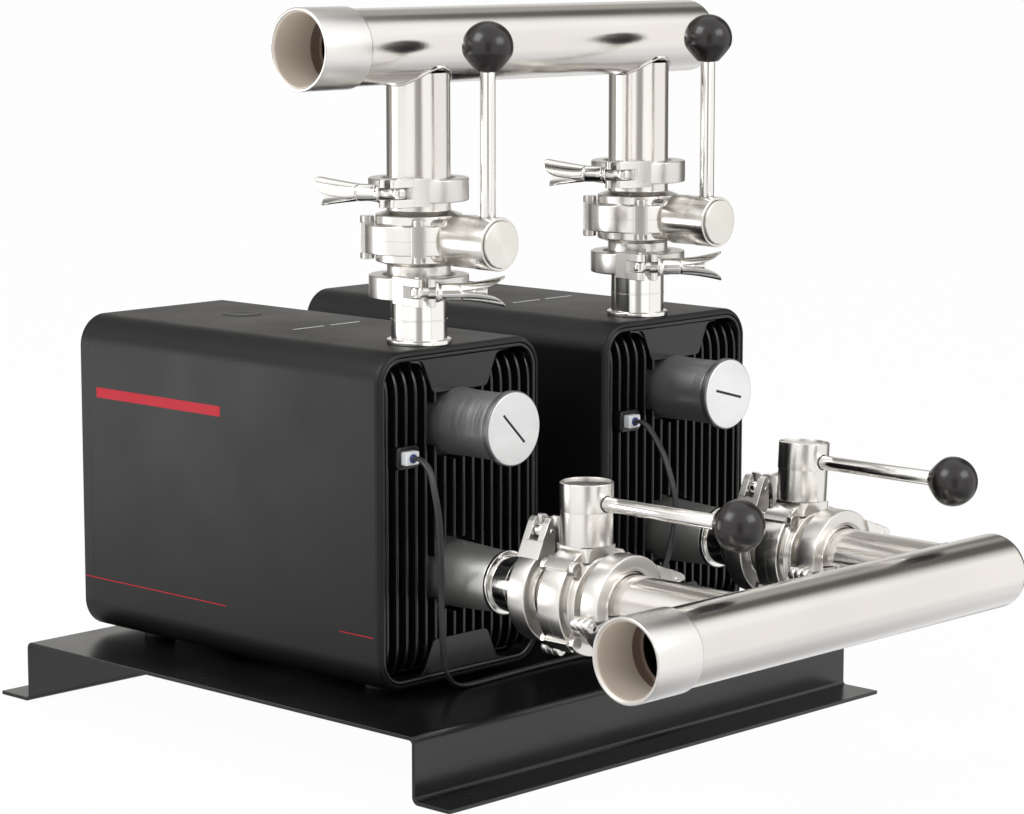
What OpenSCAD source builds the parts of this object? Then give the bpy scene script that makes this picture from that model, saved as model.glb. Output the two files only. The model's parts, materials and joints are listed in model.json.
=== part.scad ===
// Twin booster pump set: two ribbed pump units on a bent steel base, with
// butterfly valves, clamped unions and a suction and a discharge manifold.
// Lengths are in millimetres. X runs across the two pumps, Y from the suction
// side to the back and Z up. The origin is on the floor at the centre of the box.

/* [Base] */
// Width of the base across both pumps
base_w = 526; // [480:1:640]
// Depth of the base's top plate
base_d = 474; // [440:1:560]
// Height of the base's top face above the floor
base_h = 52.3; // [40:0.1:90]
// Length of the floor flanges beyond the legs
base_flange = 37; // [25:1:60]
// Thickness of the base's steel sheet
sheet_t = 3; // [2:0.5:5]
// Inner radius of the bends in the sheet
bend_r = 3; // [2:0.5:8]
// Diameter of a rubber foot under a pump
foot_d = 26; // [18:1:34]
// Height of a rubber foot
foot_h = 6; // [4:0.5:12]

/* [Pump unit] */
// Width of one pump unit
pump_w = 184; // [180:1:220]
// Depth of one pump unit
pump_d = 367; // [360:1:420]
// Height of one pump unit
pump_h = 272; // [268:1:320]
// Distance between the two pumps' centre lines
pump_pitch = 262; // [250:1:300]
// Place of the mid-line between the pumps
pumps_x = 14.5; // [0:0.5:20]
// Place of the pumps' ribbed faces, in front of the base's middle
pump_front = 142.4; // [130:0.1:150]
// Wall of the housing sleeve
sleeve_t = 3; // [2:0.5:4]
// Outer corner radius of the housing
corner_r = 26; // [16:1:30]
// Depth of the rear cover
rear_t = 12; // [8:1:20]

/* [Ribbed face] */
// Depth of the recess that holds the ribs
recess_d = 18; // [12:1:20]
// Width of the face's rim
rim_t = 5; // [3:0.5:8]
// Number of ribs
rib_count = 16; // [10:1:18]
// Distance between ribs
rib_pitch = 10.7; // [8:0.1:10.9]
// Thickness of a rib
rib_t = 3; // [2:0.5:4]
// Length of the tab at the middle of the rim
tab_w = 88; // [60:1:100]
// Height of the tab
tab_h = 22; // [14:1:24]
// Thickness of the face's back plate
face_plate_t = 3; // [2:0.5:4]

/* [Ports] */
// Height of the suction port above the pump's bottom
suction_h = 86; // [80:1:92]
// Depth of the priming port below the pump's top
priming_drop = 61.7; // [58:0.1:72]
// Sideways place of the front ports from the pump's centre line
port_x = -1.5; // [-4:0.5:4]
// Sideways place of the discharge port from the pump's centre line
discharge_x = -18.1; // [-24:0.1:-10]
// Distance of the discharge port behind the ribbed face
discharge_back = 29; // [28:0.5:34]
// Root diameter of the suction collar
collar_d = 54; // [50:1:60]
// Tip diameter of the suction collar
collar_tip_d = 49; // [46:1:52]
// Length of the suction collar in front of the ribbed face
collar_len = 50; // [40:1:70]
// Bore of the threaded ports
port_bore = 40.4; // [38:0.1:41]
// Diameter of the priming neck
neck_d = 55; // [50:1:60]
// Length of the priming neck in front of the ribbed face
neck_len = 53; // [40:1:70]
// Diameter of the priming cap
cap_d = 60; // [56:1:66]
// Thickness of the priming cap's head
cap_t = 7; // [5:0.5:10]
// Length of the coin slot in the cap
slot_len = 34; // [20:1:44]

/* [Pipework] */
// Outer diameter of the sanitary tube
tube_d = 50.8; // [50:0.1:52]
// Wall of the sanitary tube
tube_wall = 1.65; // [1.2:0.05:2]
// Diameter of a clamp ferrule
ferrule_d = 64; // [63:0.5:66]
// Thickness of a clamp gasket
gasket_t = 1.6; // [1:0.1:2]
// Tube diameter of the pump adapters
adapter_d = 45; // [44:0.5:48]
// Length of the suction adapter from the collar to the clamp's middle
suction_adapter_len = 49.1; // [45:0.1:70]
// Length of the discharge adapter from the pump's top to the clamp's middle
discharge_adapter_len = 46.5; // [42:0.1:60]
// Length from the front clamp's middle to the suction manifold's axis
suction_branch = 126.5; // [110:0.5:160]
// Length from the upper clamp's middle to the discharge manifold's axis
discharge_branch = 112.9; // [105:0.1:140]
// Outer diameter of the manifolds
manifold_d = 60.3; // [60:0.1:64]
// Wall of the manifolds
manifold_wall = 2.8; // [2:0.1:4]
// Length of the suction manifold from the socket's mouth to the closed end
manifold_len = 454.5; // [440:0.5:520]
// Reach of the suction manifold's open end past the left pump's centre line
manifold_reach = 141; // [138:0.5:170]
// Reach of the discharge manifold's open end past the left pump's centre line
discharge_reach = 146; // [138:0.5:170]
// Outer diameter of a threaded socket
socket_d = 64; // [63:0.1:72]
// Length of a threaded socket
socket_len = 50.5; // [45:0.5:70]
// Minor diameter of the two inch thread in a socket
thread_d = 56.7; // [56:0.1:58]
// Length of the thread in a socket
thread_len = 28; // [20:1:35]
// Radius of the edge of a manifold's closed end
end_r = 9; // [4:1:14]

/* [Valves] */
// Length of a valve from clamp to clamp
valve_len = 77; // [77:0.5:90]
// Outer diameter of a valve body
body_d = 88; // [85:1:90]
// Thickness of the valve body's two flanges together
body_t = 23; // [22:0.5:28]
// Diameter of the body's shoulders
shoulder_d = 69; // [64:1:70]
// Diameter of the handle's barrel
barrel_d = 42; // [36:1:44]
// Distance of the barrel's end from the pipe's axis
barrel_end = 92; // [86:1:100]
// Diameter of the handle's rod
rod_d = 12; // [10:0.5:14]
// Distance of the rod from the pipe's axis
rod_x = 76.7; // [68:0.1:78]
// Distance of the knob's centre from the stem's axis
lever_len = 152; // [130:1:170]
// Diameter of the knob
knob_d = 40; // [34:1:44]
// Diameter of the disc's stem
stem_d = 12; // [10:0.5:12]
// Thickness of the disc
disc_t = 4; // [3:0.5:5]

/* [Clamps] */
// Outer diameter of a clamp's band
clamp_d = 80; // [78:1:84]
// Width of a clamp's band
clamp_w = 18; // [16:0.5:20]
// Distance of the swing bolt from the pipe's axis
bolt_reach = 51; // [50:0.5:54]
// Thickness of a clamp's lug
lug_t = 6; // [6:0.5:9]
// Width of a clamp's lug
lug_w = 22; // [20:0.5:24]
// Diameter of the swing bolt
swing_d = 8; // [6:0.5:8]
// Length of a wing nut's boss
nut_boss = 36; // [30:1:46]
// Length of a wing nut with its wings
nut_len = 60; // [56:1:64]
// Width of a wing
wing_w = 24; // [16:1:28]

/* [Fits] */
// Running clearance of pins, stems and shafts, on the radius
run_gap = 0.05; // [0.03:0.01:0.1]
// Gap between pieces that sit in each other
seat_gap = 0.3; // [0.2:0.05:0.5]

/* [Hidden] */
$fn = 48;
eps = 0.01;
left_x = pumps_x - pump_pitch / 2;
right_x = pumps_x + pump_pitch / 2;
pump_z = base_h + foot_h;
front_y = -pump_front;
back_y = front_y + pump_d;
top_z = pump_z + pump_h;
suction_z = pump_z + suction_h;
priming_z = pump_z + pump_h - priming_drop;
discharge_y = front_y + discharge_back;
tube_r = tube_d / 2;
tube_bore_r = tube_r - tube_wall;
ferrule_r = ferrule_d / 2;
valve_half = valve_len / 2;
collar_y = front_y - collar_len;
suction_valve_y = collar_y - suction_adapter_len - valve_half;
suction_manifold_y = suction_valve_y - valve_half - suction_branch;
discharge_valve_z = top_z + discharge_adapter_len + valve_half;
discharge_manifold_z = discharge_valve_z + valve_half + discharge_branch;
suction_mouth_x = left_x - manifold_reach;
discharge_mouth_x = left_x - discharge_reach;
// Both manifolds end at the same X
manifold_end_x = suction_mouth_x + manifold_len;
// The origin is moved to the middle of the box in Y
row_y = (socket_d / 2 - suction_manifold_y - base_d / 2 - base_flange) / 2;

pumps = [["left", left_x], ["right", right_x]];
right_roll = -3.5;
// Name, place, turn and roll of each valve: the flow runs along the valve's own Z,
// the handle stands on its own X, and the lever points along Z when open. The roll
// is the turn about the flow at which a valve was clamped
valves = [for (p = pumps) each [
    [str(p[0], "_suction"), [p[1] + port_x, suction_valve_y, suction_z], [0, -90, 90],
     p[0] == "left" ? 0 : right_roll],
    [str(p[0], "_discharge"), [p[1] + discharge_x, discharge_y, discharge_valve_z], [0, 0, -90], 0]]];
// Place along the valve, turn about the pipe, turned over or not, and the nut's turn
suction_clamps = [["rear", -1, 5, 0, 20], ["front", 1, 280, 0, 60]];
discharge_clamps = [["lower", -1, 320, 180, 80], ["upper", 1, 292, 0, 8]];
function clamps_of(v) = v[2][1] == 0 ? discharge_clamps : suction_clamps;

module in_row() { translate([0, row_y, 0]) children(); }
module at_pump(x) { translate([x, 0, 0]) children(); }
module at_port(v) { translate(v[1]) rotate(v[2]) children(); }
module at_valve(v) { at_port(v) rotate([0, 0, v[3]]) children(); }
module at_clamp(v, c) {
    at_port(v) translate([0, 0, c[1] * valve_half]) rotate([0, 0, c[2]]) rotate([c[3], 0, 0]) children();
}
// A cylinder along Y from y0 to y1
module y_rod(r, y0, y1) { translate([0, y1, 0]) rotate([90, 0, 0]) cylinder(r = r, h = y1 - y0); }
module box(lo, hi) { translate(lo) cube(hi - lo); }

// Base plate
// One quarter of a bent strip, with its centre of bending at the origin
module bend_quarter(inner_r) {
    intersection() {
        difference() { circle(r = inner_r + sheet_t); circle(r = inner_r); }
        square(inner_r + sheet_t);
    }
}
module base_half_profile() {
    outer_r = bend_r + sheet_t;
    leg_y = base_d / 2;
    translate([-eps, base_h - sheet_t]) square([leg_y - outer_r + eps, sheet_t]);
    translate([leg_y - outer_r, base_h - outer_r]) bend_quarter(bend_r);
    translate([leg_y - sheet_t, outer_r]) square([sheet_t, base_h - 2 * outer_r]);
    translate([leg_y + bend_r, outer_r]) rotate(180) bend_quarter(bend_r);
    translate([leg_y + bend_r, 0]) square([base_flange - bend_r, sheet_t]);
}
module base_plate() {
    color("#1c1c1d") translate([-base_w / 2, 0, 0]) rotate([90, 0, 90]) linear_extrude(base_w) {
        base_half_profile();
        mirror([1, 0]) base_half_profile();
    }
}
foot_inset = corner_r + foot_d / 2 + foot_h;
module pump_feet() {
    color("#111111") for (p = pumps) for (sx = [-1, 1]) for (y = [front_y + foot_inset, back_y - foot_inset])
        translate([p[1] + sx * (pump_w / 2 - foot_inset), y, base_h])
            cylinder(d = foot_d, h = foot_h);
}

// Pump housing
// Rounded outline of the pump seen from the front, drawn in X and Z, inset by t
module outline(t) {
    r = corner_r - t;
    hw = pump_w / 2 - t;
    translate([0, pump_z + pump_h / 2]) {
        square([2 * hw, pump_h - 2 * t - 2 * r], center = true);
        square([2 * hw - 2 * r, pump_h - 2 * t], center = true);
        for (sx = [-1, 1]) for (sz = [-1, 1])
            translate([sx * (hw - r), sz * (pump_h / 2 - t - r)]) circle(r = r);
    }
}
// A slab of the outline between two places in Y
module slab(t, y0, y1) { translate([0, y1, 0]) rotate([90, 0, 0]) linear_extrude(y1 - y0) outline(t); }
boss_wall = 3.5;
boss_r = port_bore / 2 + boss_wall;
module discharge_axis() { translate([discharge_x, discharge_y, 0]) children(); }
module housing_sleeve() {
    color("#303032") difference() {
        slab(0, front_y, back_y - rear_t);
        slab(sleeve_t, front_y - 1, back_y - rear_t + 1);
        discharge_axis() translate([0, 0, top_z - 2 * sleeve_t])
            cylinder(r = boss_r + seat_gap, h = 3 * sleeve_t);
    }
}
plate_y = front_y + recess_d;
rib_inset = sleeve_t + rim_t + 5;
tab_t = 3.2;
tab_drop = sleeve_t + rim_t + tab_h;
module tab_outline() {
    foot = tab_w / 2;
    tip = foot - tab_h * 0.6;
    polygon([[-foot, 0], [foot, 0], [tip, -tab_h - rim_t], [-tip, -tab_h - rim_t]]);
}
module front_tabs() {
    for (s = [0, 1])
        translate([0, front_y + 1 + tab_t, s == 0 ? top_z - sleeve_t - 1 : pump_z + sleeve_t + 1])
            rotate([90, 0, 0]) linear_extrude(tab_t) mirror([0, s]) tab_outline();
}
// Length of a rib's slanting end, and height of its end above the plate
rib_slant = 22;
rib_end = 5;
// One rib with its ends cut back towards the plate
module rib() {
    h = pump_h / 2 - rib_inset;
    crest = front_y + 2;
    root = plate_y + 1;
    translate([-rib_t / 2, 0, pump_z + pump_h / 2]) rotate([90, 0, 90]) linear_extrude(rib_t)
        polygon([[crest, rib_slant - h], [crest, h - rib_slant], [plate_y - rib_end, h],
                 [root, h], [root, -h], [plate_y - rib_end, -h]]);
}
// Place of the data socket from the pump's left side and from its top
data_inset = 31;
data_drop = 84.3;
data_x = data_inset - pump_w / 2;
data_z = top_z - data_drop;
data_w = 25;
data_h = 18.5;
// Skin left in front of the discharge boss
face_skin = 4.4;
module front_cover() {
    color("#1b1b1c") difference() {
        union() {
            difference() {
                slab(sleeve_t + seat_gap, front_y + 0.5, plate_y + face_plate_t);
                slab(sleeve_t + rim_t, front_y - 1, plate_y);
            }
            for (i = [0 : rib_count - 1]) translate([(i - (rib_count - 1) / 2) * rib_pitch, 0, 0])
                intersection() { rib(); slab(sleeve_t + rim_t, front_y - 1, plate_y + 1); }
            intersection() { front_tabs(); slab(sleeve_t + seat_gap, front_y, plate_y); }
        }
        translate([port_x, 0, suction_z]) y_rod(collar_d / 2 + seat_gap, front_y - 1, plate_y + 10);
        translate([port_x, 0, priming_z]) y_rod(neck_d / 2 + seat_gap, front_y - 1, plate_y + 10);
        translate([data_x, 0, data_z])
            box([-data_w / 2, front_y - 1, -data_h / 2], [data_w / 2, plate_y - eps, data_h / 2]);
        discharge_axis() translate([0, 0, top_z - tab_drop + 2]) intersection() {
            cylinder(r = boss_r + 1, h = tab_drop);
            translate([-boss_r * 2, face_skin - discharge_back, 0])
                cube([boss_r * 4, boss_r * 4, tab_drop]);
        }
    }
}
// Gland of the mains cable, and the vents, in the rear cover
gland_z = pump_z + 60;
gland_r = 10;
gland_bore_r = 4;
gland_len = 12;
vent_size = [44, 4];
vent_x = 40;
vent_z = priming_z - 30;
vent_pitch = 9;
vent_count = 8;
module rear_cover() {
    color("#262627") difference() {
        union() {
            slab(0, back_y - rear_t, back_y);
            difference() {
                slab(sleeve_t + seat_gap, back_y - 2 * rear_t, back_y - rear_t + 1);
                slab(2 * sleeve_t, back_y - 2 * rear_t - 1, back_y - rear_t - 1);
            }
            translate([0, 0, gland_z]) y_rod(gland_r, back_y - 1, back_y + gland_len);
        }
        slab(2 * sleeve_t, back_y - 2 * rear_t - 1, back_y - sleeve_t);
        translate([0, 0, gland_z]) y_rod(gland_bore_r, back_y - rear_t, back_y + gland_len + 1);
        for (sx = [-1, 1]) for (k = [0 : vent_count - 1])
            translate([sx * vent_x - vent_size[0] / 2, back_y - rear_t, vent_z + k * vent_pitch])
                cube([vent_size[0], rear_t + 1, vent_size[1]]);
    }
}

// Pump hydraulics, on the suction port's axis
casing_r = 62;
casing_wall = 4;
casing_inner_r = casing_r - casing_wall;
casing_front = plate_y + face_plate_t + seat_gap;
casing_back = casing_front + 130;
chamber_w = 50;
chamber_back = casing_front + 40;
shaft_r = 8.5;
hub_r = shaft_r + 5;
seal_r = 2 * shaft_r;
seal_w = 10;
// Impeller stages between the front port and the motor
stage_pitch = 25;
stage_count = 4;
stage_y = casing_front + 20;
impeller_r = casing_inner_r - 8;
vane_count = 6;
vane_w = 8;
shroud_t = 2;
diffuser_t = 5;
port_r = port_bore / 2;
port_depth = 27;
// Riser from the stages to the discharge port, with the poppet's seat on top
riser_r = 12;
riser_y = casing_front + 20;
check_z = top_z - 40;
check_r = 15;
check_travel_h = 16;
priming_bore_r = 18;
casing_foot_x = 34;
casing_foot = [18, 20];
foot_overlap = 17;
module pump_casing() {
    color("#8f9296") difference() {
        union() {
            translate([port_x, 0, suction_z]) y_rod(casing_r, casing_front, casing_back);
            box([discharge_x - chamber_w / 2, casing_front, suction_z],
                [port_x + chamber_w / 2, chamber_back, top_z - sleeve_t - seat_gap]);
            discharge_axis() translate([0, 0, top_z - tab_drop + 4])
                cylinder(r = boss_r, h = tab_drop - 4);
            for (x = [port_x - casing_foot_x, port_x + casing_foot_x])
                translate([x - casing_foot[0] / 2, casing_front + 10, pump_z + sleeve_t])
                    cube([casing_foot[0], casing_foot[1], suction_h - sleeve_t - casing_r + foot_overlap]);
        }
        translate([port_x, 0, suction_z]) {
            y_rod(casing_inner_r, casing_front + 9, casing_back - 8);
            y_rod(port_r - 2, casing_front - 1, casing_front + 20);
            y_rod(seal_r + seat_gap, casing_back - 20, casing_back + 1);
        }
        translate([port_x, 0, priming_z]) y_rod(priming_bore_r - 2, casing_front - 1, casing_front + 28);
        translate([discharge_x, riser_y, suction_z + 20])
            cylinder(r = riser_r, h = check_z - suction_z - 19);
        translate([discharge_x, riser_y, check_z]) cylinder(r = check_r + 2.5, h = check_travel_h);
        discharge_axis() translate([0, 0, top_z - port_depth]) cylinder(r = port_r, h = port_depth + 1);
    }
}
module diffusers() {
    color("#c9c9c4") for (i = [0 : stage_count - 2])
        translate([port_x, stage_y + stage_pitch * (i + 0.5) + diffuser_t - 1, suction_z]) rotate([90, 0, 0])
            difference() {
                cylinder(r = casing_inner_r - 0.1, h = diffuser_t, center = true);
                cylinder(r = hub_r + 3, h = diffuser_t + 2, center = true);
            }
}
module pump_casings() {
    for (p = pumps) at_pump(p[1]) {
        pump_casing();
        diffusers();
    }
}
module port_collars() {
    root_len = casing_front - front_y + 8;
    neck_full = casing_front - front_y + neck_len;
    color("#3d4043") for (p = pumps) at_pump(p[1]) {
        translate([port_x, casing_front, suction_z]) rotate([90, 0, 0]) difference() {
            union() {
                cylinder(r = collar_d / 2, h = root_len);
                translate([0, 0, root_len - eps])
                    cylinder(d1 = collar_d, d2 = collar_tip_d, h = collar_len - 8 + eps, $fn = 64);
            }
            translate([0, 0, -1]) cylinder(r = port_r, h = casing_front - collar_y + 2);
        }
        translate([port_x, casing_front, priming_z]) rotate([90, 0, 0]) difference() {
            cylinder(r = neck_d / 2, h = neck_full);
            translate([0, 0, -1]) cylinder(r = priming_bore_r, h = neck_full + 2);
        }
    }
}
cap_spigot = 22;
cap_slot = [slot_len, 2.5, 2];
module priming_cap(turn) {
    color("#c9cacb") translate([port_x, front_y - neck_len - 0.1, priming_z]) rotate([90, turn, 0]) {
        difference() {
            cylinder(d = cap_d, h = cap_t);
            translate([-cap_slot[0] / 2, -cap_slot[1] / 2, cap_t - cap_slot[2]])
                cube([cap_slot[0], cap_slot[1], cap_slot[2] + 1]);
        }
        translate([0, 0, -cap_spigot]) cylinder(r = priming_bore_r - run_gap, h = cap_spigot + eps);
    }
}
// One closed impeller: two shrouds, a hub and straight vanes
module impeller() {
    difference() {
        union() {
            for (z = [-vane_w / 2, vane_w / 2]) translate([0, 0, z])
                cylinder(r = impeller_r, h = shroud_t, center = true);
            cylinder(r = hub_r, h = vane_w + 2 * shroud_t, center = true);
            for (k = [0 : vane_count - 1]) rotate([0, 0, k * 360 / vane_count])
                translate([hub_r - 1, -1.2, -vane_w / 2]) cube([impeller_r - hub_r - 1, 2.4, vane_w]);
        }
        cylinder(r = shaft_r + run_gap, h = 2 * vane_w, center = true);
    }
}
module impellers() {
    color("#d9d6cf") for (i = [0 : stage_count - 1])
        translate([port_x, stage_y + stage_pitch * i, suction_z]) rotate([90, 0, 0]) impeller();
}
module check_poppet() {
    guide_r = riser_r - 0.5;
    color("#d8b25a") translate([discharge_x, riser_y, check_z + 0.1]) {
        cylinder(r = check_r, h = 4);
        for (a = [0, 90]) rotate([0, 0, a])
            translate([-guide_r, -1.2, -14]) cube([2 * guide_r, 2.4, 14.5]);
    }
}

// Motor, on the same axis
motor_len = 155;
shell_back = casing_back + motor_len;
shell_cap = 24;
shell_foot_w = 90;
shell_foot_t = 18;
shell_foot_inset = 30;
shell_saddle_w = 48;
saddle_t = 12;
saddle_sink = 8;
saddle_ys = [casing_back + shell_cap - 4, shell_back - shell_cap - 16];
stator_y = casing_back + 32;
stator_len = 88;
stator_bore_r = 34;
winding_len = 6;
rotor_r = stator_bore_r - 0.7;
bearing_r = 20;
bearing_w = 12;
bearing_ys = [casing_back + 8, shell_back - 8 - bearing_w];
// Diaphragm tank above the motor
tank_r = 46;
tank_wall = 2;
tank_end = 14;
tank_crown_r = 76;
tank_z = suction_z + casing_r + tank_r + 6;
tank_y = chamber_back + 9;
tank_len = 215;
module motor_shells() {
    color("#6f7377") for (p = pumps) at_pump(p[1]) difference() {
        union() {
            translate([port_x, 0, suction_z]) y_rod(casing_r, casing_back, shell_back);
            translate([port_x - shell_foot_w / 2, shell_back - shell_foot_inset, pump_z + sleeve_t])
                cube([shell_foot_w, shell_foot_t, suction_h - sleeve_t - casing_r + foot_overlap]);
            for (y = saddle_ys)
                box([port_x - shell_saddle_w / 2, y, suction_z + casing_r - saddle_sink],
                    [port_x + shell_saddle_w / 2, y + saddle_t, tank_z - tank_r + saddle_sink]);
        }
        translate([port_x, 0, suction_z]) {
            y_rod(casing_inner_r, casing_back + shell_cap, shell_back - shell_cap);
            for (y = bearing_ys) y_rod(bearing_r + run_gap, y, y + bearing_w);
            y_rod(shaft_r + 3, casing_back - 1, shell_back - 5);
        }
        translate([port_x, 0, tank_z]) y_rod(tank_r + seat_gap, casing_back, shell_back);
    }
}
module motor_stators() {
    color("#7a4a2a") for (p = pumps) at_pump(p[1]) translate([port_x, 0, suction_z]) difference() {
        union() {
            y_rod(casing_inner_r - 0.2, stator_y, stator_y + stator_len);
            y_rod(impeller_r, stator_y - winding_len, stator_y + stator_len + winding_len);
        }
        y_rod(stator_bore_r, stator_y - winding_len - 1, stator_y + stator_len + winding_len + 1);
    }
}
module motor_rotor() {
    color("#9aa0a6") translate([port_x, 0, suction_z]) {
        y_rod(shaft_r, casing_front + 10, shell_back - 8);
        y_rod(rotor_r, stator_y, stator_y + stator_len);
    }
}
module shaft_bearings() {
    color("#b9bcc0") for (p = pumps) for (y = bearing_ys)
        translate([p[1] + port_x, 0, suction_z]) difference() {
            y_rod(bearing_r, y, y + bearing_w);
            y_rod(shaft_r + run_gap, y - 1, y + bearing_w + 1);
        }
}
module shaft_seals() {
    color("#202020") for (p = pumps) translate([p[1] + port_x, 0, suction_z]) difference() {
        y_rod(seal_r + 0.1, casing_back - seal_w, casing_back);
        y_rod(shaft_r + run_gap, casing_back - seal_w - 1, casing_back + 1);
    }
}
module pressure_tank() {
    shell_y0 = tank_y + tank_end;
    shell_y1 = tank_y + tank_len - tank_end;
    crown = tank_crown_r - tank_end - 1.4;
    difference() {
        union() {
            y_rod(tank_r, shell_y0, shell_y1);
            for (e = [[shell_y0, 1], [shell_y1, -1]]) intersection() {
                translate([0, e[0], 0]) y_rod(tank_r, -tank_end, tank_end);
                translate([0, e[0] + e[1] * crown, 0]) sphere(r = tank_crown_r, $fn = 64);
            }
            y_rod(8, chamber_back, tank_y + 20);
        }
        y_rod(tank_r - tank_wall, shell_y0 + 4, shell_y1 - 4);
        y_rod(4, chamber_back - 1, tank_y + 20);
    }
}
module pressure_tanks() {
    color("#2b59a5") for (p = pumps) translate([p[1] + port_x, 0, tank_z]) pressure_tank();
}
// Inverter board on posts at the pump's right side
board_t = 1.6;
post_len = 5;
post_r = 4;
capacitor_r = 9;
capacitor_len = 20;
heat_block = [9, 50, 40];
board_x = pump_w / 2 - sleeve_t - post_len;
heat_y = 140;
board_end = 20;
post_inset = 12;
board_low = 40;
board_high = 30;
module inverter_board() {
    box([board_x - board_t, tank_y, suction_z - board_low],
        [board_x, shell_back - board_end, tank_z + board_high]);
    for (y = [tank_y + post_inset, shell_back - board_end - post_inset])
        for (z = [suction_z - board_low + 10, tank_z + board_high - 10])
        translate([board_x - eps, y, z]) rotate([0, 90, 0]) cylinder(r = post_r, h = post_len + eps);
    for (k = [0 : 3])
        translate([board_x - board_t - capacitor_len, tank_y + 30 + k * 30, tank_z + 6])
            rotate([0, 90, 0]) cylinder(r = capacitor_r, h = capacitor_len + eps);
    translate([board_x - heat_block[0], tank_y + heat_y, tank_z - heat_block[2] / 2]) cube(heat_block);
}
module inverter_boards() {
    color("#1f5c35") for (p = pumps) at_pump(p[1]) inverter_board();
}

// Pipework
// Depths of a ferrule's rim, slope and neck behind its face
rim_h = 2.4;
slope_h = 4.6;
neck_h = 6;
fillet_r = 2;
// Section of a ferrule, with its face at height 0 and its tube below
module ferrule_section(neck_r, bore_r, len) {
    polygon([[bore_r, 0], [ferrule_r, 0], [ferrule_r, -rim_h], [neck_r + fillet_r, -slope_h], [neck_r, -neck_h],
             [neck_r, -len], [bore_r, -len]]);
}
module ferrule_tube(neck_r, bore_r, len) { rotate_extrude() ferrule_section(neck_r, bore_r, len); }
spigot_len = 24;
ring_t = 4;
ring_lip = 3.5;
module adapter(len) {
    r = adapter_d / 2;
    face = len - gasket_t / 2;
    translate([0, 0, face]) ferrule_tube(r, r - 2.5, face - ring_t);
    difference() {
        union() {
            cylinder(r = r + ring_lip, h = ring_t + eps);
            translate([0, 0, -spigot_len]) cylinder(r = port_r - 0.1, h = spigot_len + eps);
        }
        translate([0, 0, -spigot_len - 1]) cylinder(r = r - 5, h = spigot_len + ring_t + 2);
    }
}
module pump_adapters() {
    color("#d4d2cd") for (p = pumps) at_pump(p[1]) {
        translate([port_x, collar_y, suction_z]) rotate([90, 0, 0]) adapter(suction_adapter_len);
        discharge_axis() translate([0, 0, top_z]) adapter(discharge_adapter_len);
    }
}
module clamp_gaskets() {
    color("#e8e6e0") for (v = valves) for (c = clamps_of(v)) at_clamp(v, c) difference() {
        cylinder(r = ferrule_r - 0.5, h = gasket_t, center = true);
        cylinder(r = tube_bore_r, h = gasket_t + 2, center = true);
    }
}

// Manifolds: a pipe along X from the socket's mouth at mouth_x, and two branches
manifold_r = manifold_d / 2;
manifold_bore_r = manifold_r - manifold_wall;
module manifold_outline(len) {
    square([manifold_r, len - end_r]);
    square([manifold_r - end_r, len]);
    translate([manifold_r - end_r, len - end_r]) circle(r = end_r);
}
module manifold_pipe(mouth_x) {
    translate([mouth_x + socket_len, 0, 0]) rotate([0, 90, 0]) rotate_extrude()
        manifold_outline(manifold_end_x - mouth_x - socket_len);
}
module manifold_bore(mouth_x) {
    translate([mouth_x + socket_len - 1, 0, 0]) rotate([0, 90, 0])
        cylinder(r = manifold_bore_r, h = manifold_end_x - mouth_x - socket_len - end_r / 2);
}
// Branches stand on the manifold at the given X, along the manifold's own Z
module manifold(mouth_x, xs, branch) {
    difference() {
        union() {
            manifold_pipe(mouth_x);
            for (x = xs) translate([x, 0, branch - gasket_t / 2])
                ferrule_tube(tube_r, 0, branch - gasket_t / 2);
        }
        manifold_bore(mouth_x);
        for (x = xs) translate([x, 0, 0]) cylinder(r = tube_bore_r, h = branch);
    }
}
module suction_manifold() {
    color("#d0ceca") translate([0, suction_manifold_y, suction_z]) rotate([-90, 0, 0])
        manifold(suction_mouth_x, [left_x + port_x, right_x + port_x], suction_branch);
}
module discharge_manifold() {
    color("#d0ceca") translate([0, discharge_y, discharge_manifold_z]) rotate([180, 0, 0])
        manifold(discharge_mouth_x, [left_x + discharge_x, right_x + discharge_x], discharge_branch);
}
mouth_t = 3;
module pipe_socket() {
    rotate([0, 90, 0]) difference() {
        cylinder(d = socket_d, h = socket_len, $fn = 72);
        translate([0, 0, -1]) cylinder(r = thread_d / 2 + 2, h = mouth_t + 1);
        cylinder(d = thread_d, h = mouth_t + thread_len);
        cylinder(r = manifold_bore_r, h = socket_len + 1);
    }
}
module pipe_sockets() {
    color("#e3e0dc") {
        translate([suction_mouth_x, suction_manifold_y, suction_z]) pipe_socket();
        translate([discharge_mouth_x, discharge_y, discharge_manifold_z]) pipe_socket();
    }
}

// Butterfly valve, on its own axes
body_r = body_d / 2;
seat_r = 30;
seat_half = 9;
ear_reach = body_r - 3;
ear_r = 5.5;
ear_h = body_t / 2 + 0.5;
ear_angles = [45, 135, 225, 315];
bolt_d = 6;
stem_foot = 38;
stem_cover = 12;
split = 0.05;
shoulder_h = 7;
cone_h = 3;
stem_hub_r = 17.4;
stem_hub_foot = 32;
// Section of one half, from the mid split up to the ferrule's face
module body_section() {
    flank = body_t / 2;
    shoulder = flank + shoulder_h;
    face = valve_half - gasket_t / 2;
    pocket_r = seat_r + 0.2;
    pocket_h = seat_half + 0.2;
    polygon([[pocket_r, split], [body_r, split], [body_r, flank], [shoulder_d / 2, flank],
             [shoulder_d / 2, shoulder], [tube_r, shoulder + cone_h], [tube_r, face - neck_h],
             [tube_r + fillet_r, face - slope_h], [ferrule_r, face - rim_h], [ferrule_r, face],
             [tube_bore_r, face], [tube_bore_r, pocket_h], [pocket_r, pocket_h]]);
}
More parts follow.
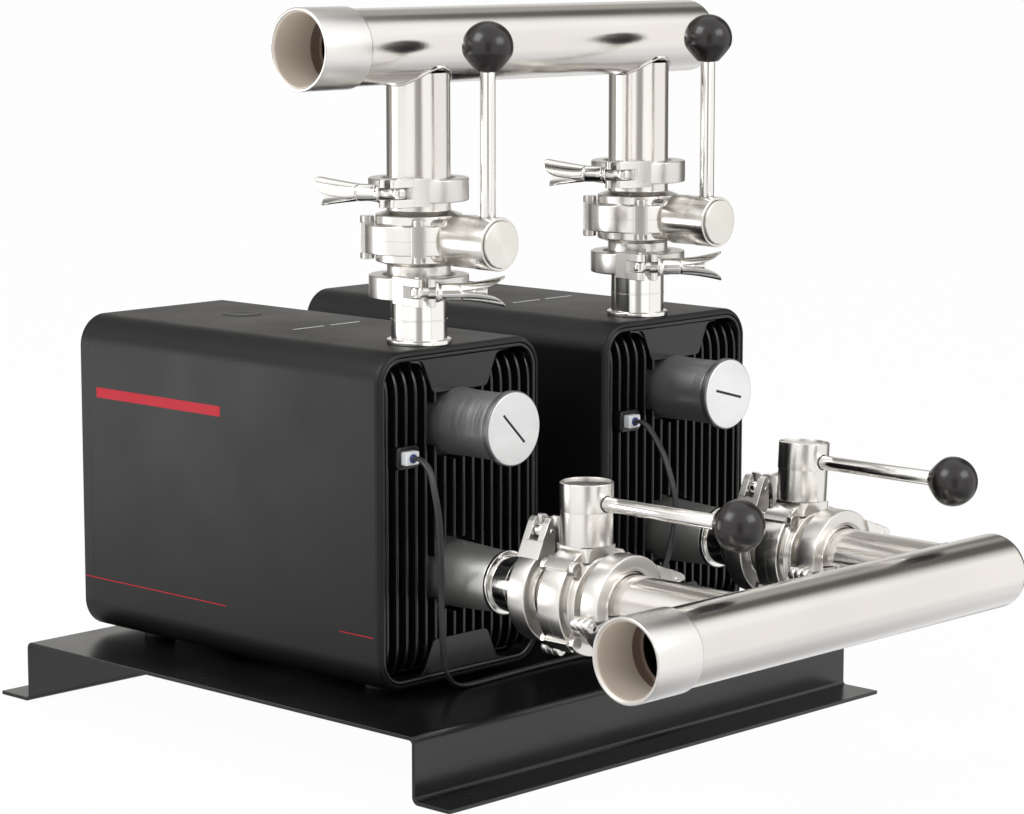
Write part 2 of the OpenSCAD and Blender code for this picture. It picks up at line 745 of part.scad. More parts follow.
// Half of the round boss under the handle's barrel
module stem_hub() {
    intersection() {
        translate([stem_hub_foot, 0, 0]) rotate([0, 90, 0]) cylinder(r = stem_hub_r, h = body_r - stem_hub_foot);
        translate([stem_hub_foot - 1, -body_r, split]) cube(2 * body_r);
    }
}
module body_half() {
    difference() {
        union() {
            rotate_extrude() body_section();
            stem_hub();
            for (a = ear_angles) rotate([0, 0, a]) translate([ear_reach, 0, split])
                cylinder(r = ear_r, h = ear_h - split);
        }
        for (a = ear_angles) rotate([0, 0, a]) translate([ear_reach, 0, -1])
            cylinder(d = bolt_d + 0.4, h = body_t);
        translate([-stem_foot, 0, 0]) rotate([0, 90, 0]) cylinder(d = stem_d + 2 * run_gap, h = 100);
        translate([body_r - 1, -50, -1]) cube(100);
    }
}
module valve_body() {
    color("#c9c6c0") {
        body_half();
        rotate([180, 0, 0]) body_half();
    }
}
module valve_seat() {
    difference() {
        cylinder(r = seat_r, h = 2 * seat_half, center = true);
        cylinder(r = tube_bore_r, h = 2 * seat_half + 2, center = true);
        translate([-60, 0, 0]) rotate([0, 90, 0]) cylinder(d = stem_d + 2 * run_gap, h = 120);
    }
}
module valve_seats() { color("#b9b4ab") for (v = valves) at_valve(v) valve_seat(); }
module valve_disc() {
    color("#b5b3af") {
        rotate([90, 0, 0]) cylinder(r = tube_bore_r - seat_gap, h = disc_t, center = true);
        translate([seat_gap - stem_foot, 0, 0]) rotate([0, 90, 0])
            cylinder(d = stem_d, h = stem_foot - seat_gap + barrel_end - stem_cover);
    }
}
// End disc of the barrel, and the depth of the rod in its knob
lid_t = 3;
lid_lip = 1.2;
knob_hole = 12;
screw_d = 5;
module valve_handle() {
    barrel_from = body_r - 0.7;
    color("#c4c2bd") difference() {
        union() {
            translate([barrel_from, 0, 0]) rotate([0, 90, 0])
                cylinder(d = barrel_d, h = barrel_end - lid_t - barrel_from);
            translate([barrel_end - lid_t - eps, 0, 0]) rotate([0, 90, 0])
                cylinder(d = barrel_d - 2 * lid_lip, h = lid_t + eps);
            translate([rod_x, 0, 0]) cylinder(d = rod_d, h = lever_len - knob_d / 2 + knob_hole);
        }
        translate([barrel_from - 1, 0, 0]) rotate([0, 90, 0])
            cylinder(d = stem_d + 0.1, h = barrel_end - stem_cover + 1 - barrel_from);
        translate([rod_x - 16, -barrel_d / 2 - 1, 0]) rotate([-90, 0, 0]) cylinder(d = screw_d, h = 6);
    }
}
module handle_knob() {
    color("#1d1b1b") translate([rod_x, 0, lever_len]) difference() {
        sphere(d = knob_d);
        translate([0, 0, -knob_d]) cylinder(d = rod_d + 0.2, h = knob_d / 2 + knob_hole + seat_gap);
        translate([0, 0, 1 - 1.5 * knob_d]) cylinder(r = knob_d, h = knob_d);
    }
}
hex_r = 5.8;
hex_h = 5.2;
module valve_bolts() {
    color("#b0aea9") for (v = valves) at_valve(v) for (a = ear_angles)
        rotate([0, 0, a]) translate([ear_reach, 0, 0]) {
            cylinder(d = bolt_d, h = 2 * ear_h + hex_h, center = true);
            for (s = [-1, 1]) translate([0, 0, s * (ear_h + hex_h / 2)])
                cylinder(r = hex_r, h = hex_h, center = true, $fn = 6);
        }
}

// Clamp: the pipe runs along Z, the lugs stand on X and the nut faces -Y
clamp_r = clamp_d / 2;
half_w = clamp_w / 2;
groove = gasket_t / 2 + rim_h + seat_gap;
lip_r = tube_r + fillet_r + seat_gap;
lip_h = 1.2;
lug_gap = 2.5;
lug_mid = lug_gap + lug_t / 2;
lug_top = bolt_reach + 7;
eye_w = swing_d + 0.6;
fork_w = eye_w + 2 * seat_gap;
hinge_x = clamp_r + 6;
module band_section() {
    seat = ferrule_r + seat_gap;
    lip_z = groove + rim_h;
    polygon([[clamp_r, -half_w], [clamp_r, half_w], [lip_r + 2.5, half_w], [lip_r, lip_z + lip_h],
             [lip_r, lip_z], [seat, groove], [seat, -groove], [lip_r, -lip_z],
             [lip_r, -lip_z - lip_h], [lip_r + 2.5, -half_w]]);
}
pin_r = 2;
knuckle_r = 5.5;
lug_root = 4.5;
band_end = 2;
// Places where a wedge's back meets the band, as shares of the band's radius
wedge_back = [[0.8, 0.59], [0.84, 0.38]];
// Outline of a lug in X and Y. The pivot's lug is a wedge with a sloping back
module lug_outline(is_wedge) {
    tip = lug_top + lug_t / 2;
    foot = clamp_r - lug_root;
    back = lug_gap + lug_t;
    polygon(concat([[foot, lug_gap], [tip, lug_gap], [tip, lug_mid], [lug_top, back]],
                   is_wedge ? clamp_r * wedge_back : [[foot, back]]));
}
// One half of the band with its forked lug, on the side of positive Y
module clamp_half(knuckles, is_wedge) {
    difference() {
        union() {
            rotate([0, 0, band_end]) rotate_extrude(angle = 180 - 2 * band_end, $fn = 72) band_section();
            translate([0, 0, -lug_w / 2]) linear_extrude(lug_w) lug_outline(is_wedge);
            for (k = knuckles) translate([-hinge_x, 0, k[0]]) {
                cylinder(r = knuckle_r, h = k[1] - k[0]);
                translate([0, 1.5, 0]) cube([8.5, 4, k[1] - k[0]]);
            }
        }
        translate([clamp_r + 2.5, -1, -fork_w / 2]) cube([30, 30, fork_w]);
        translate([-hinge_x, 0, -half_w - 1]) cylinder(r = pin_r + run_gap, h = clamp_w + 2);
    }
}
knuckle_gap = half_w / 3;
module clamp_rings() {
    color("#bdbbb6") for (v = valves) for (c = clamps_of(v)) at_clamp(v, c) {
        difference() {
            clamp_half([[-knuckle_gap, knuckle_gap]], true);
            translate([bolt_reach, lug_mid, -lug_w]) cylinder(r = pin_r + run_gap, h = 2 * lug_w);
        }
        mirror([0, 1, 0]) clamp_half([[-half_w, -knuckle_gap - 0.2], [knuckle_gap + 0.2, half_w]], false);
    }
}
nut_y = lug_gap + lug_t;
module clamp_bolts() {
    color("#c8c6c2") for (v = valves) for (c = clamps_of(v)) at_clamp(v, c) {
        translate([bolt_reach, lug_mid, 0]) difference() {
            union() {
                cylinder(r = knuckle_r, h = eye_w, center = true);
                rotate([90, 0, 0]) cylinder(d = swing_d, h = lug_mid + nut_y + nut_boss + 5);
            }
            cylinder(r = pin_r + run_gap, h = clamp_w, center = true);
        }
        translate([bolt_reach, lug_mid, -lug_w / 2 - 1]) cylinder(r = pin_r, h = lug_w + 2);
        translate([-hinge_x, 0, -half_w - 1]) cylinder(r = pin_r, h = clamp_w + 2);
    }
}
// A wing nut along Z, with its flange at height 0 and its wings to both sides in X
wing_t = 3.4;
wing_bow = 110;
wing_z = nut_boss - 14;
flange_r = 8.5;
flange_t = 3;
boss_d = 12;
module wing_outline() {
    w = wing_w / 2;
    belly = wing_z + (nut_len - wing_z) * 0.45;
    for (s = [0, 1]) mirror([s, 0])
        polygon([[-eps, wing_z], [w * 0.5, wing_z], [w * 0.95, belly], [w, nut_len - 12],
                 [w * 0.7, nut_len - 3], [w * 0.3, nut_len], [-eps, nut_len]]);
}
module wing() {
    intersection() {
        rotate([90, 0, 90]) linear_extrude(2 * wing_w) wing_outline();
        translate([swing_d / 2 + 0.8 + wing_bow, wing_w, wing_z]) rotate([90, 0, 0]) difference() {
            cylinder(r = wing_bow, h = 2 * wing_w, $fn = 180);
            translate([0, 0, -1]) cylinder(r = wing_bow - wing_t, h = 2 * wing_w + 2, $fn = 180);
        }
        translate([0, -wing_w, 0]) cube([2 * wing_w, 2 * wing_w, nut_len + 1]);
    }
}
module wing_nut() {
    color("#c4c2bc") difference() {
        union() {
            cylinder(r = flange_r, h = flange_t);
            translate([0, 0, flange_t - eps]) cylinder(d1 = 2 * flange_r - 2, d2 = boss_d, h = 5);
            cylinder(d = boss_d, h = nut_boss);
            wing();
            mirror([1, 0, 0]) wing();
        }
        translate([0, 0, -1]) cylinder(r = swing_d / 2 + run_gap, h = nut_len + 2);
    }
}
module placed_wing_nut(v, c) {
    at_clamp(v, c) translate([bolt_reach, -nut_y - 0.1, 0]) rotate([90, 0, 0]) rotate([0, 0, c[4]]) wing_nut();
}

// Link cable between the two pumps, with a plug at each end
plug_w = 15;
plug_h = 11;
plug_front = front_y - 7;
socket_floor = 5;
fit = 0.2;
module data_sockets() {
    color("#17181a") for (p = pumps) at_pump(p[1]) translate([data_x, 0, data_z]) difference() {
        box([fit - data_w / 2, front_y - 2, fit - data_h / 2],
            [data_w / 2 - fit, plate_y - 0.1, data_h / 2 - fit]);
        box([-plug_w / 2 - fit, front_y - 3, -plug_h / 2 - fit],
            [plug_w / 2 + fit, plate_y - socket_floor, plug_h / 2 + fit]);
    }
}
module cable_plugs() {
    color("#eceef2") for (p = pumps) at_pump(p[1]) translate([data_x, 0, data_z])
        box([-plug_w / 2, plug_front, -plug_h / 2],
            [plug_w / 2, plate_y - socket_floor - 0.1, plug_h / 2]);
}
cable_w = 6;
cable_t = 3;
left_plug = [left_x + data_x, plug_front, data_z];
right_plug = [right_x + data_x, plug_front, data_z];
// Height of the cable's middle where it lies on the base
lying = base_h + cable_t / 2 + seat_gap;
// Points of the route, each with its wide side along X (0) or Y (1)
route = [
    [left_plug, 0], [[-177.5, -158, 246], 0], [[-178, -169, 238], 0], [[-178, -174, 222], 0],
    [[-175, -175, 204], 0], [[-171, -173, 184], 0], [[-167, -170, 164], 0], [[-163, -166, 143], 0],
    [[-160, -163, 121], 0], [[-156, -160, 100], 0], [[-151, -157, 80], 0], [[-142, -154, 63], 1],
    [[-127, -152, lying + 1.4], 1], [[-108, -151, lying], 1], [[-80, -149, lying], 1],
    [[-50, -147, lying], 1], [[-18, -146, lying], 1], [[10, -146, lying], 1],
    [[32, -150, lying + 1.4], 1], [[48, -160, 63], 1],
    [[60, -172, 80], 0], [[68, -182, 100], 0], [[75, -189, 121], 0], [[80, -193, 143], 0],
    [[84, -195, 164], 0], [[85, -195, 184], 0], [[84, -190, 204], 0], [[84, -182, 222], 0],
    [[84, -170, 238], 0], [[84.5, -159, 246], 0], [right_plug, 0]];
wide_axes = [[1, 0, 0], [0, 1, 0]];
cable_sides = 8;
function unit(v) = v / norm(v);
function point(i) = route[max(0, min(len(route) - 1, i))][0];
function wide(i) = wide_axes[route[max(0, min(len(route) - 1, i))][1]];
// Smooth curve through the points: segment i, share t of the way
function curve(i, t) = let (a = point(i - 1), b = point(i), c = point(i + 1), d = point(i + 2))
    0.5 * (2 * b + (c - a) * t + (2 * a - 5 * b + 4 * c - d) * t * t
        + (3 * b - a - 3 * c + d) * t * t * t);
function slope(i, t) = let (h = 0.02) curve(i, min(1, t + h)) - curve(i, max(0, t - h));
stations = concat([for (i = [0 : len(route) - 2]) for (t = [0, 0.5])
    [curve(i, t), unit(slope(i, t)), (1 - t) * wide(i) + t * wide(i + 1)]],
    [[point(len(route) - 1), unit(slope(len(route) - 2, 1)), wide(len(route) - 1)]]);
function ring(s) = let (t = s[1], w = unit(s[2] - (s[2] * t) * t), n = cross(t, w))
    [for (k = [0 : cable_sides - 1]) let (a = 360 * (k + 0.5) / cable_sides)
        s[0] + w * cos(a) * cable_w / 2 + n * sin(a) * cable_t / 2];
module link_cable() {
    m = len(stations);
    pts = [for (s = stations) each ring(s)];
    sides = [for (i = [0 : m - 2]) for (k = [0 : cable_sides - 1]) let (j = (k + 1) % cable_sides)
        each [[i * cable_sides + k, i * cable_sides + j, (i + 1) * cable_sides + j],
              [i * cable_sides + k, (i + 1) * cable_sides + j, (i + 1) * cable_sides + k]]];
    first = [for (k = [0 : cable_sides - 1]) cable_sides - 1 - k];
    last = [for (k = [0 : cable_sides - 1]) (m - 1) * cable_sides + k];
    color("#232325") polyhedron(points = pts, faces = concat(sides, [first, last]));
}

module show(name) { in_row() children(); }

show("base_plate") base_plate();
show("pump_feet") pump_feet();
for (p = pumps) at_pump(p[1]) {
    show(str(p[0], "_housing_sleeve")) housing_sleeve();
    show(str(p[0], "_front_cover")) front_cover();
    show(str(p[0], "_rear_cover")) rear_cover();
    show(str(p[0], "_priming_cap")) priming_cap(p[0] == "left" ? 45 : 15);
    show(str(p[0], "_motor_rotor")) motor_rotor();
    show(str(p[0], "_impellers")) impellers();
    show(str(p[0], "_check_poppet")) check_poppet();
}
show("port_collars") port_collars();
show("pump_casings") pump_casings();
show("motor_stators") motor_stators();
show("motor_shells") motor_shells();
show("pressure_tanks") pressure_tanks();
show("inverter_boards") inverter_boards();
show("shaft_bearings") shaft_bearings();
show("shaft_seals") shaft_seals();
show("pump_adapters") pump_adapters();
for (v = valves) {
    show(str(v[0], "_valve_body")) at_valve(v) valve_body();
    show(str(v[0], "_valve_disc")) at_valve(v) valve_disc();
    show(str(v[0], "_valve_handle")) at_valve(v) valve_handle();
    show(str(v[0], "_handle_knob")) at_valve(v) handle_knob();
    for (c = clamps_of(v)) show(str(v[0], "_", c[0], "_wing_nut")) placed_wing_nut(v, c);
}
show("valve_seats") valve_seats();
show("valve_bolts") valve_bolts();
show("clamp_gaskets") clamp_gaskets();
show("clamp_rings") clamp_rings();
show("clamp_bolts") clamp_bolts();
show("suction_manifold") suction_manifold();
show("discharge_manifold") discharge_manifold();
show("pipe_sockets") pipe_sockets();
show("data_sockets") data_sockets();
show("link_cable") link_cable();
show("cable_plugs") cable_plugs();
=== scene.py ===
"""Looks of a twin booster pump set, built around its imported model.

Shapes are made in millimetres in the row frame and scaled to metres at the end.
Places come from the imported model: the nodes' boxes and the joints' positions.
"""
import json
import math

import bmesh
import bpy
from mathutils import Euler, Matrix, Vector


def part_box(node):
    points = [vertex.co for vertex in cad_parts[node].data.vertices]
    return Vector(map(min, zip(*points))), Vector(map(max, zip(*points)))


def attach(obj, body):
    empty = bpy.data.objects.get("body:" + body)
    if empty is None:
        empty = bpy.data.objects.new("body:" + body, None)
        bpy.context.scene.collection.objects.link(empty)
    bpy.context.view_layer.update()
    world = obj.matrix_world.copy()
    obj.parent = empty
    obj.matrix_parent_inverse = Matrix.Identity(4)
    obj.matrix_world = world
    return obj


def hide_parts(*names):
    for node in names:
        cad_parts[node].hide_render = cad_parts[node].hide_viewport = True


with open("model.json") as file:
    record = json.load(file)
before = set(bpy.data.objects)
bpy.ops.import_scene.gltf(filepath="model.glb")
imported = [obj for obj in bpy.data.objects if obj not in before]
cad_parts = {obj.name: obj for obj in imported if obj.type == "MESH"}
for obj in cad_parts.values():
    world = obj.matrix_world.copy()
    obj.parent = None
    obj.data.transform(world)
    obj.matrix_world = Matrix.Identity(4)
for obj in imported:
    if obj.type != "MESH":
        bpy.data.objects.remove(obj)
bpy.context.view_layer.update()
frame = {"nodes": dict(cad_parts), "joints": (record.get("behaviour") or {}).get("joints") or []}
nodes = frame["nodes"]
joint_at = {j["name"]: Vector(j["pos_m"]) * 1000 for j in frame["joints"] if "pos_m" in j}

ROOT = "frame"
SIDES = ("left", "right")


def mm_box(node):
    """Lowest and highest corner of a CAD node in millimetres."""
    low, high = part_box(node)
    return low * 1000, high * 1000


# Frames: rotations are in degrees, about X, then Y, then Z
def at(x=0.0, y=0.0, z=0.0, turn=(0, 0, 0)):
    angles = [math.radians(a) for a in turn]
    return Matrix.Translation((x, y, z)) @ Euler(angles, "XYZ").to_matrix().to_4x4()


ALONG_X = at(turn=(0, 90, 0))
# Height along X, with the outline's own X along Y and its Y along Z
STEM_OUT = Matrix(((0, 0, 1, 0), (1, 0, 0, 0), (0, 1, 0, 0), (0, 0, 0, 1)))


# Camera, with the photograph's place and lens
CAMERA_AT = (-1.904, -1.8115, 0.660)
CAMERA_LOOK = Vector((0.7136, 0.6844, -0.1495))
camera_data = bpy.data.cameras.new("camera")
camera_data.lens = 112.0
camera_data.sensor_width = 36.0
camera = bpy.data.objects.new("camera", camera_data)
camera.location = CAMERA_AT
camera.rotation_euler = CAMERA_LOOK.to_track_quat("-Z", "Y").to_euler()
bpy.context.scene.collection.objects.link(camera)
bpy.context.scene.camera = camera


# Meshes
def fillet(points, radius, steps=4):
    """A closed outline with its corners rounded, by one radius or by one for each corner."""
    radii = radius if hasattr(radius, "__len__") else [radius] * len(points)
    rounded = []
    for i, corner in enumerate(points):
        corner = Vector(corner)
        to_last = Vector(points[i - 1]) - corner
        to_next = Vector(points[(i + 1) % len(points)]) - corner
        angle = to_last.angle(to_next, 0)
        if radii[i] <= 0 or not 0.05 < angle < math.pi - 0.05:
            rounded.append(corner)
            continue
        reach = min(radii[i] / math.tan(angle / 2), 0.48 * to_last.length, 0.48 * to_next.length)
        r = reach * math.tan(angle / 2)
        to_last.normalize()
        to_next.normalize()
        centre = corner + (to_last + to_next).normalized() * (r / math.sin(angle / 2))
        start = corner + to_last * reach - centre
        end = corner + to_next * reach - centre
        first = math.atan2(start.y, start.x)
        sweep = (math.atan2(end.y, end.x) - first + math.pi) % (2 * math.pi) - math.pi
        for k in range(steps + 1):
            a = first + sweep * k / steps
            rounded.append(centre + Vector((math.cos(a), math.sin(a))) * r)
    return rounded


def turns(count):
    """Angles of a full turn in equal steps."""
    return [2 * math.pi * k / count for k in range(count)]


def quarter_turns(steps):
    """Angles of a quarter turn in equal steps, both its ends with them."""
    return [math.pi / 2 * k / steps for k in range(steps + 1)]


def circle(radius, count):
    return [Vector((radius * math.cos(a), radius * math.sin(a))) for a in turns(count)]


def loft(bm, rings, closed=True, caps=True):
    """Skin over rings that have the same number of points."""
    made = [[bm.verts.new(p) for p in ring] for ring in rings]
    count = len(rings[0])
    for a, b in zip(made, made[1:]):
        for k in range(count if closed else count - 1):
            j = (k + 1) % count
            bm.faces.new((a[k], a[j], b[j], b[k]))
    if caps:
        bm.faces.new(made[0][::-1])
        bm.faces.new(made[-1])
    return made


def lathe(bm, outline, place=Matrix(), count=96, start=0.0, sweep=360.0):
    """Turns a closed outline of (radius, height) about Z. Heights lie along the place's Z."""
    full = sweep >= 360
    steps = count if full else max(3, int(count * sweep / 360))
    rings = []
    for k in range(steps if full else steps + 1):
        a = math.radians(start + sweep * k / steps)
        rings.append((math.cos(a), math.sin(a)))
    axis_verts = {}
    grid = []
    for c, s in rings:
        row = []
        for i, (r, h) in enumerate(outline):
            if abs(r) < 1e-6:
                if i not in axis_verts:
                    axis_verts[i] = bm.verts.new(place @ Vector((0, 0, h)))
                row.append(axis_verts[i])
            else:
                row.append(bm.verts.new(place @ Vector((r * c, r * s, h))))
        grid.append(row)
    n = len(outline)
    pairs = list(zip(grid, grid[1:] + ([grid[0]] if full else [])))
    for a, b in pairs:
        for i in range(n):
            j = (i + 1) % n
            face = []
            for v in (a[i], a[j], b[j], b[i]):
                if v not in face:
                    face.append(v)
            if len(face) > 2:
                bm.faces.new(face)
    if not full:
        bm.faces.new(grid[0][::-1])
        bm.faces.new(grid[-1])


def prism(bm, outline, low, high, place=Matrix()):
    """An outline in X and Y, drawn out along Z."""
    rings = [[place @ Vector((p[0], p[1], h)) for p in outline] for h in (low, high)]
    loft(bm, rings)


def pillow(bm, outline, low, high, edge, place=Matrix(), steps=3):
    """A prism whose two end faces have rounded edges. The outline is convex."""
    mid = sum((Vector(p) for p in outline), Vector((0, 0))) / len(outline)
    reach = max((Vector(p) - mid).length for p in outline)
    rings = []
    for end, sign in ((low, 1), (high, -1)):
        part = []
        for a in quarter_turns(steps):
            inset = edge * (1 - math.sin(a))
            height = end + sign * edge * (1 - math.cos(a))
            scale = 1 - inset / reach
            part.append([place @ Vector((*(mid + (Vector(p) - mid) * scale), height)) for p in outline])
        rings += part if sign > 0 else part[::-1]
    loft(bm, rings)


def block(bm, low, high, edge=0.6, place=Matrix()):
    """A box with rounded edges."""
    made = bmesh.ops.create_cube(bm, size=1)["verts"]
    low, high = Vector(low), Vector(high)
    size = high - low
    centre = (low + high) / 2
    shape = Matrix.Translation(centre) @ Matrix.Diagonal((*size, 1))
    bmesh.ops.transform(bm, matrix=shape, verts=made)
    if edge:
        edges = {e for v in made for e in v.link_edges}
        made = bmesh.ops.bevel(bm, geom=list(edges), offset=edge, segments=3, affect="EDGES",
                               profile=0.5)["verts"]
    bmesh.ops.transform(bm, matrix=place, verts=list(set(made)))


def piece(name, bm, material, body=ROOT, slot=None, stands_for=(), edge=0.0, sharp=32):
    """Turns a mesh in millimetres into a piece that rides on a body."""
    bmesh.ops.remove_doubles(bm, verts=bm.verts, dist=1e-4)
    bmesh.ops.recalc_face_normals(bm, faces=bm.faces)
    limit = math.radians(sharp)
    for face in bm.faces:
        face.smooth = True
    for line in bm.edges:
        line.smooth = len(line.link_faces) == 2 and line.calc_face_angle(0) < limit
    mesh = bpy.data.meshes.new(name)
    bm.to_mesh(mesh)
    bm.free()
    mesh.transform(Matrix.Scale(0.001, 4))
    obj = bpy.data.objects.new(name, mesh)
    bpy.context.scene.collection.objects.link(obj)
    mesh.materials.append(material)
    if edge:
        rounding = obj.modifiers.new("edge", "BEVEL")
        rounding.width = edge * 0.001
        rounding.segments = 2
        rounding.limit_method = "ANGLE"
        rounding.angle_limit = limit
        rounding.harden_normals = True
    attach(obj, body)
    if stands_for:
        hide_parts(*stands_for)
    return obj


def turned(name, place, outline, radii, material, *where, count=96, steps=4, **more):
    """A piece turned from one outline, with its corners rounded where radii are given."""
    bm = bmesh.new()
    lathe(bm, fillet(outline, radii, steps) if radii else outline, place, count)
    return piece(name, bm, material, *where, **more)


# Materials
class Nodes:
    """One node tree, whose nodes are made and linked by short calls."""

    def __init__(self, tree):
        self.tree = tree

    @staticmethod
    def set(node, values):
        for socket, value in values.items():
            node.inputs[socket].default_value = value

    def node(self, kind, values=None, **settings):
        made = self.tree.nodes.new(kind)
        for key, value in settings.items():
            setattr(made, key, value)
        self.set(made, values or {})
        return made

    def link(self, source, target):
        self.tree.links.new(source, target)


class Look(Nodes):
    """A material on the Principled shader, with its detail made by nodes."""

    def __init__(self, name, color, roughness, metallic=0.0, **sockets):
        self.material = bpy.data.materials.new(name)
        self.material.use_nodes = True
        super().__init__(self.material.node_tree)
        self.shader = self.tree.nodes["Principled BSDF"]
        self.set(self.shader, {"Base Color": (*color, 1), "Roughness": roughness, "Metallic": metallic})
        self.set(self.shader, {socket.replace("_", " "): value for socket, value in sockets.items()})

    def noise(self, scale, stretch=(1, 1, 1), detail=4.0, contrast=(0.3, 0.7)):
        """Noise in metres on the object, stretched per axis, from 0 to 1."""
        place = self.node("ShaderNodeTexCoord").outputs["Object"]
        mapping = self.node("ShaderNodeMapping", {"Scale": stretch})
        self.link(place, mapping.inputs["Vector"])
        texture = self.node("ShaderNodeTexNoise", {"Scale": scale, "Detail": detail})
        self.link(mapping.outputs["Vector"], texture.inputs["Vector"])
        spread = self.node("ShaderNodeMapRange", {"From Min": contrast[0], "From Max": contrast[1]})
        self.link(texture.outputs["Fac"], spread.inputs["Value"])
        return spread.outputs["Result"]

    def rough(self, amount, low, high):
        spread = self.node("ShaderNodeMapRange", {"To Min": low, "To Max": high})
        self.link(amount, spread.inputs["Value"])
        self.link(spread.outputs["Result"], self.shader.inputs["Roughness"])
        return self

    def tint(self, amount, first, second):
        mix = self.node("ShaderNodeMix", data_type="RGBA")
        mix.inputs[6].default_value = (*first, 1)
        mix.inputs[7].default_value = (*second, 1)
        self.link(amount, mix.inputs[0])
        self.link(mix.outputs[2], self.shader.inputs["Base Color"])
        return self

    def relief(self, height, strength, depth, edge=0.0):
        """Bump from a height, over a rounding of sharp edges where edge is given, in metres."""
        bump = self.node("ShaderNodeBump", {"Strength": strength, "Distance": depth})
        self.link(height, bump.inputs["Height"])
        if edge:
            rounded = self.node("ShaderNodeBevel", {"Radius": edge}, samples=6)
            self.link(rounded.outputs["Normal"], bump.inputs["Normal"])
        self.link(bump.outputs["Normal"], self.shader.inputs["Normal"])
        return self


GRAIN = {"x": (60, 1, 1), "y": (1, 60, 1), "z": (1, 1, 60)}


def steel(name, axis, color, low, high, grain=0.25, edge=0.0, streak=0.0):
    """Polished or brushed steel whose fine turning marks run round one axis.

    A streak draws its reflections out along that axis, on a piece that turns about its own middle.
    """
    look = Look(name, color, low, metallic=1.0)
    if streak:
        look.set(look.shader, {"Anisotropic": streak, "Anisotropic Rotation": 0.25})
        round_axis = look.node("ShaderNodeTangent", direction_type="RADIAL", axis=axis.upper())
        look.link(round_axis.outputs["Tangent"], look.shader.inputs["Tangent"])
    look.rough(look.noise(9, detail=3), low, high)
    look.tint(look.noise(5, detail=2), [c * 0.9 for c in color], color)
    look.relief(look.noise(30, GRAIN[axis], detail=6), grain, 0.00006, edge)
    return look.material


def steels(name, axes, *values, **more):
    """The same steel with its turning marks round each of the axes."""
    return {a: steel(f"{name}_{a}", a, *values, **more) for a in axes}


polished = steels("polished_steel", "xyz", (0.84, 0.825, 0.8), 0.1, 0.17, 0.1)
body_steel = steels("body_steel", "xyz", (0.76, 0.742, 0.71), 0.19, 0.27, 0.2)
band_steel = steels("band_steel", "xyz", (0.7, 0.685, 0.66), 0.26, 0.34, 0.2)
satin = steels("satin_steel", "xyz", (0.76, 0.745, 0.715), 0.16, 0.26, 0.4)
barrel_steel = steels("barrel_steel", "yz", (0.74, 0.72, 0.68), 0.2, 0.27, 0.2, streak=0.7)
manifold_steel = steel("manifold_steel", "x", (0.76, 0.735, 0.7), 0.12, 0.19, 0.25)
machined = steel("machined_steel", "z", (0.76, 0.74, 0.71), 0.14, 0.24, 0.3, 0.0004)
lug_steel = steel("lug_steel", "z", (0.8, 0.785, 0.76), 0.26, 0.36, 0.3)

EVEN = (1, 1, 1)
RINGS = (1, 30, 1)


def surface(name, color, roughness, metallic=0.0, rough=None, tint=None, relief=None, **sockets):
    """A look whose roughness, colour and relief each follow a noise between two values."""
    look = Look(name, color, roughness, metallic, **sockets)
    for change, given in ((look.rough, rough), (look.tint, tint), (look.relief, relief)):
        if given:
            change(look.noise(*given[0]), *given[1:])
    return look.material


socket_steel = surface("socket_steel", (0.77, 0.755, 0.735), 0.3, 1, ((12,), 0.25, 0.34),
                       relief=((900, EVEN, 3), 0.12, 0.00004))
socket_bore = surface("socket_bore", (0.78, 0.7, 0.62), 0.4, 0.25, ((12,), 0.34, 0.48),
                      relief=((900, EVEN, 3), 0.12, 0.00004))
# Dark brown for the socket's bore past the thread: painted shade deep inside the socket.
bore_painted_shade = surface("bore_painted_shade", (0.3, 0.22, 0.18), 0.45, 0.3, ((12,), 0.4, 0.5))
housing_black = surface("housing_black", (0.004, 0.0038, 0.004), 0.42, 0, ((14, EVEN, 5), 0.4, 0.48),
                        ((6, EVEN, 3), (0.0035, 0.0032, 0.0035), (0.005, 0.0047, 0.005)),
                        ((2600, EVEN, 2), 0.12, 0.00005, 0.0008), Specular_IOR_Level=0.3)
cover_black = surface("cover_black", (0.006, 0.006, 0.006), 0.22, 0, ((20,), 0.18, 0.28),
                      relief=((1500, EVEN, 2), 0.08, 0.00004, 0.0005))
base_black = surface("base_black", (0.006, 0.006, 0.0065), 0.24, 0, ((11, EVEN, 6), 0.18, 0.3),
                     ((4, EVEN, 5), (0.005, 0.005, 0.0055), (0.009, 0.009, 0.009)),
                     ((700, EVEN, 3), 0.1, 0.00012, 0.0008))
rubber_black = surface("rubber_black", (0.016, 0.016, 0.017), 0.7, relief=((800,), 0.3, 0.0001, 0.0005))
collar_grey = surface("collar_grey", (0.6, 0.595, 0.575), 0.34, 0.85, ((25, RINGS), 0.28, 0.42),
                      relief=((1200,), 0.15, 0.00005))
neck_grey = surface("neck_grey", (0.42, 0.423, 0.43), 0.36, 0.85, ((25, RINGS), 0.3, 0.44),
                    relief=((1200,), 0.15, 0.00005))
rim_grey = surface("rim_grey", (0.2, 0.2, 0.2), 0.34, 0.8, ((60, (1, 12, 1)), 0.3, 0.42))
cap_silver = surface("cap_silver", (0.8, 0.8, 0.81), 0.34, 0.9, ((60, (1, 1, 12)), 0.3, 0.42),
                     ((18, (1, 1, 3), 4.0, (0.2, 0.8)), (0.72, 0.72, 0.73), (0.84, 0.84, 0.85)),
                     ((900, (1, 1, 0.1)), 0.1, 0.00003))
knob_black = surface("knob_black", (0.01, 0.0075, 0.007), 0.24, 0, ((30,), 0.22, 0.28))
plug_white = surface("plug_white", (0.85, 0.87, 0.9), 0.35, relief=((900,), 0.08, 0.00003))
plug_blue = surface("plug_blue", (0.02, 0.03, 0.16), 0.3, relief=((900,), 0.08, 0.00003))
cable_black = surface("cable_black", (0.028, 0.028, 0.03), 0.42, 0, ((40,), 0.36, 0.5))
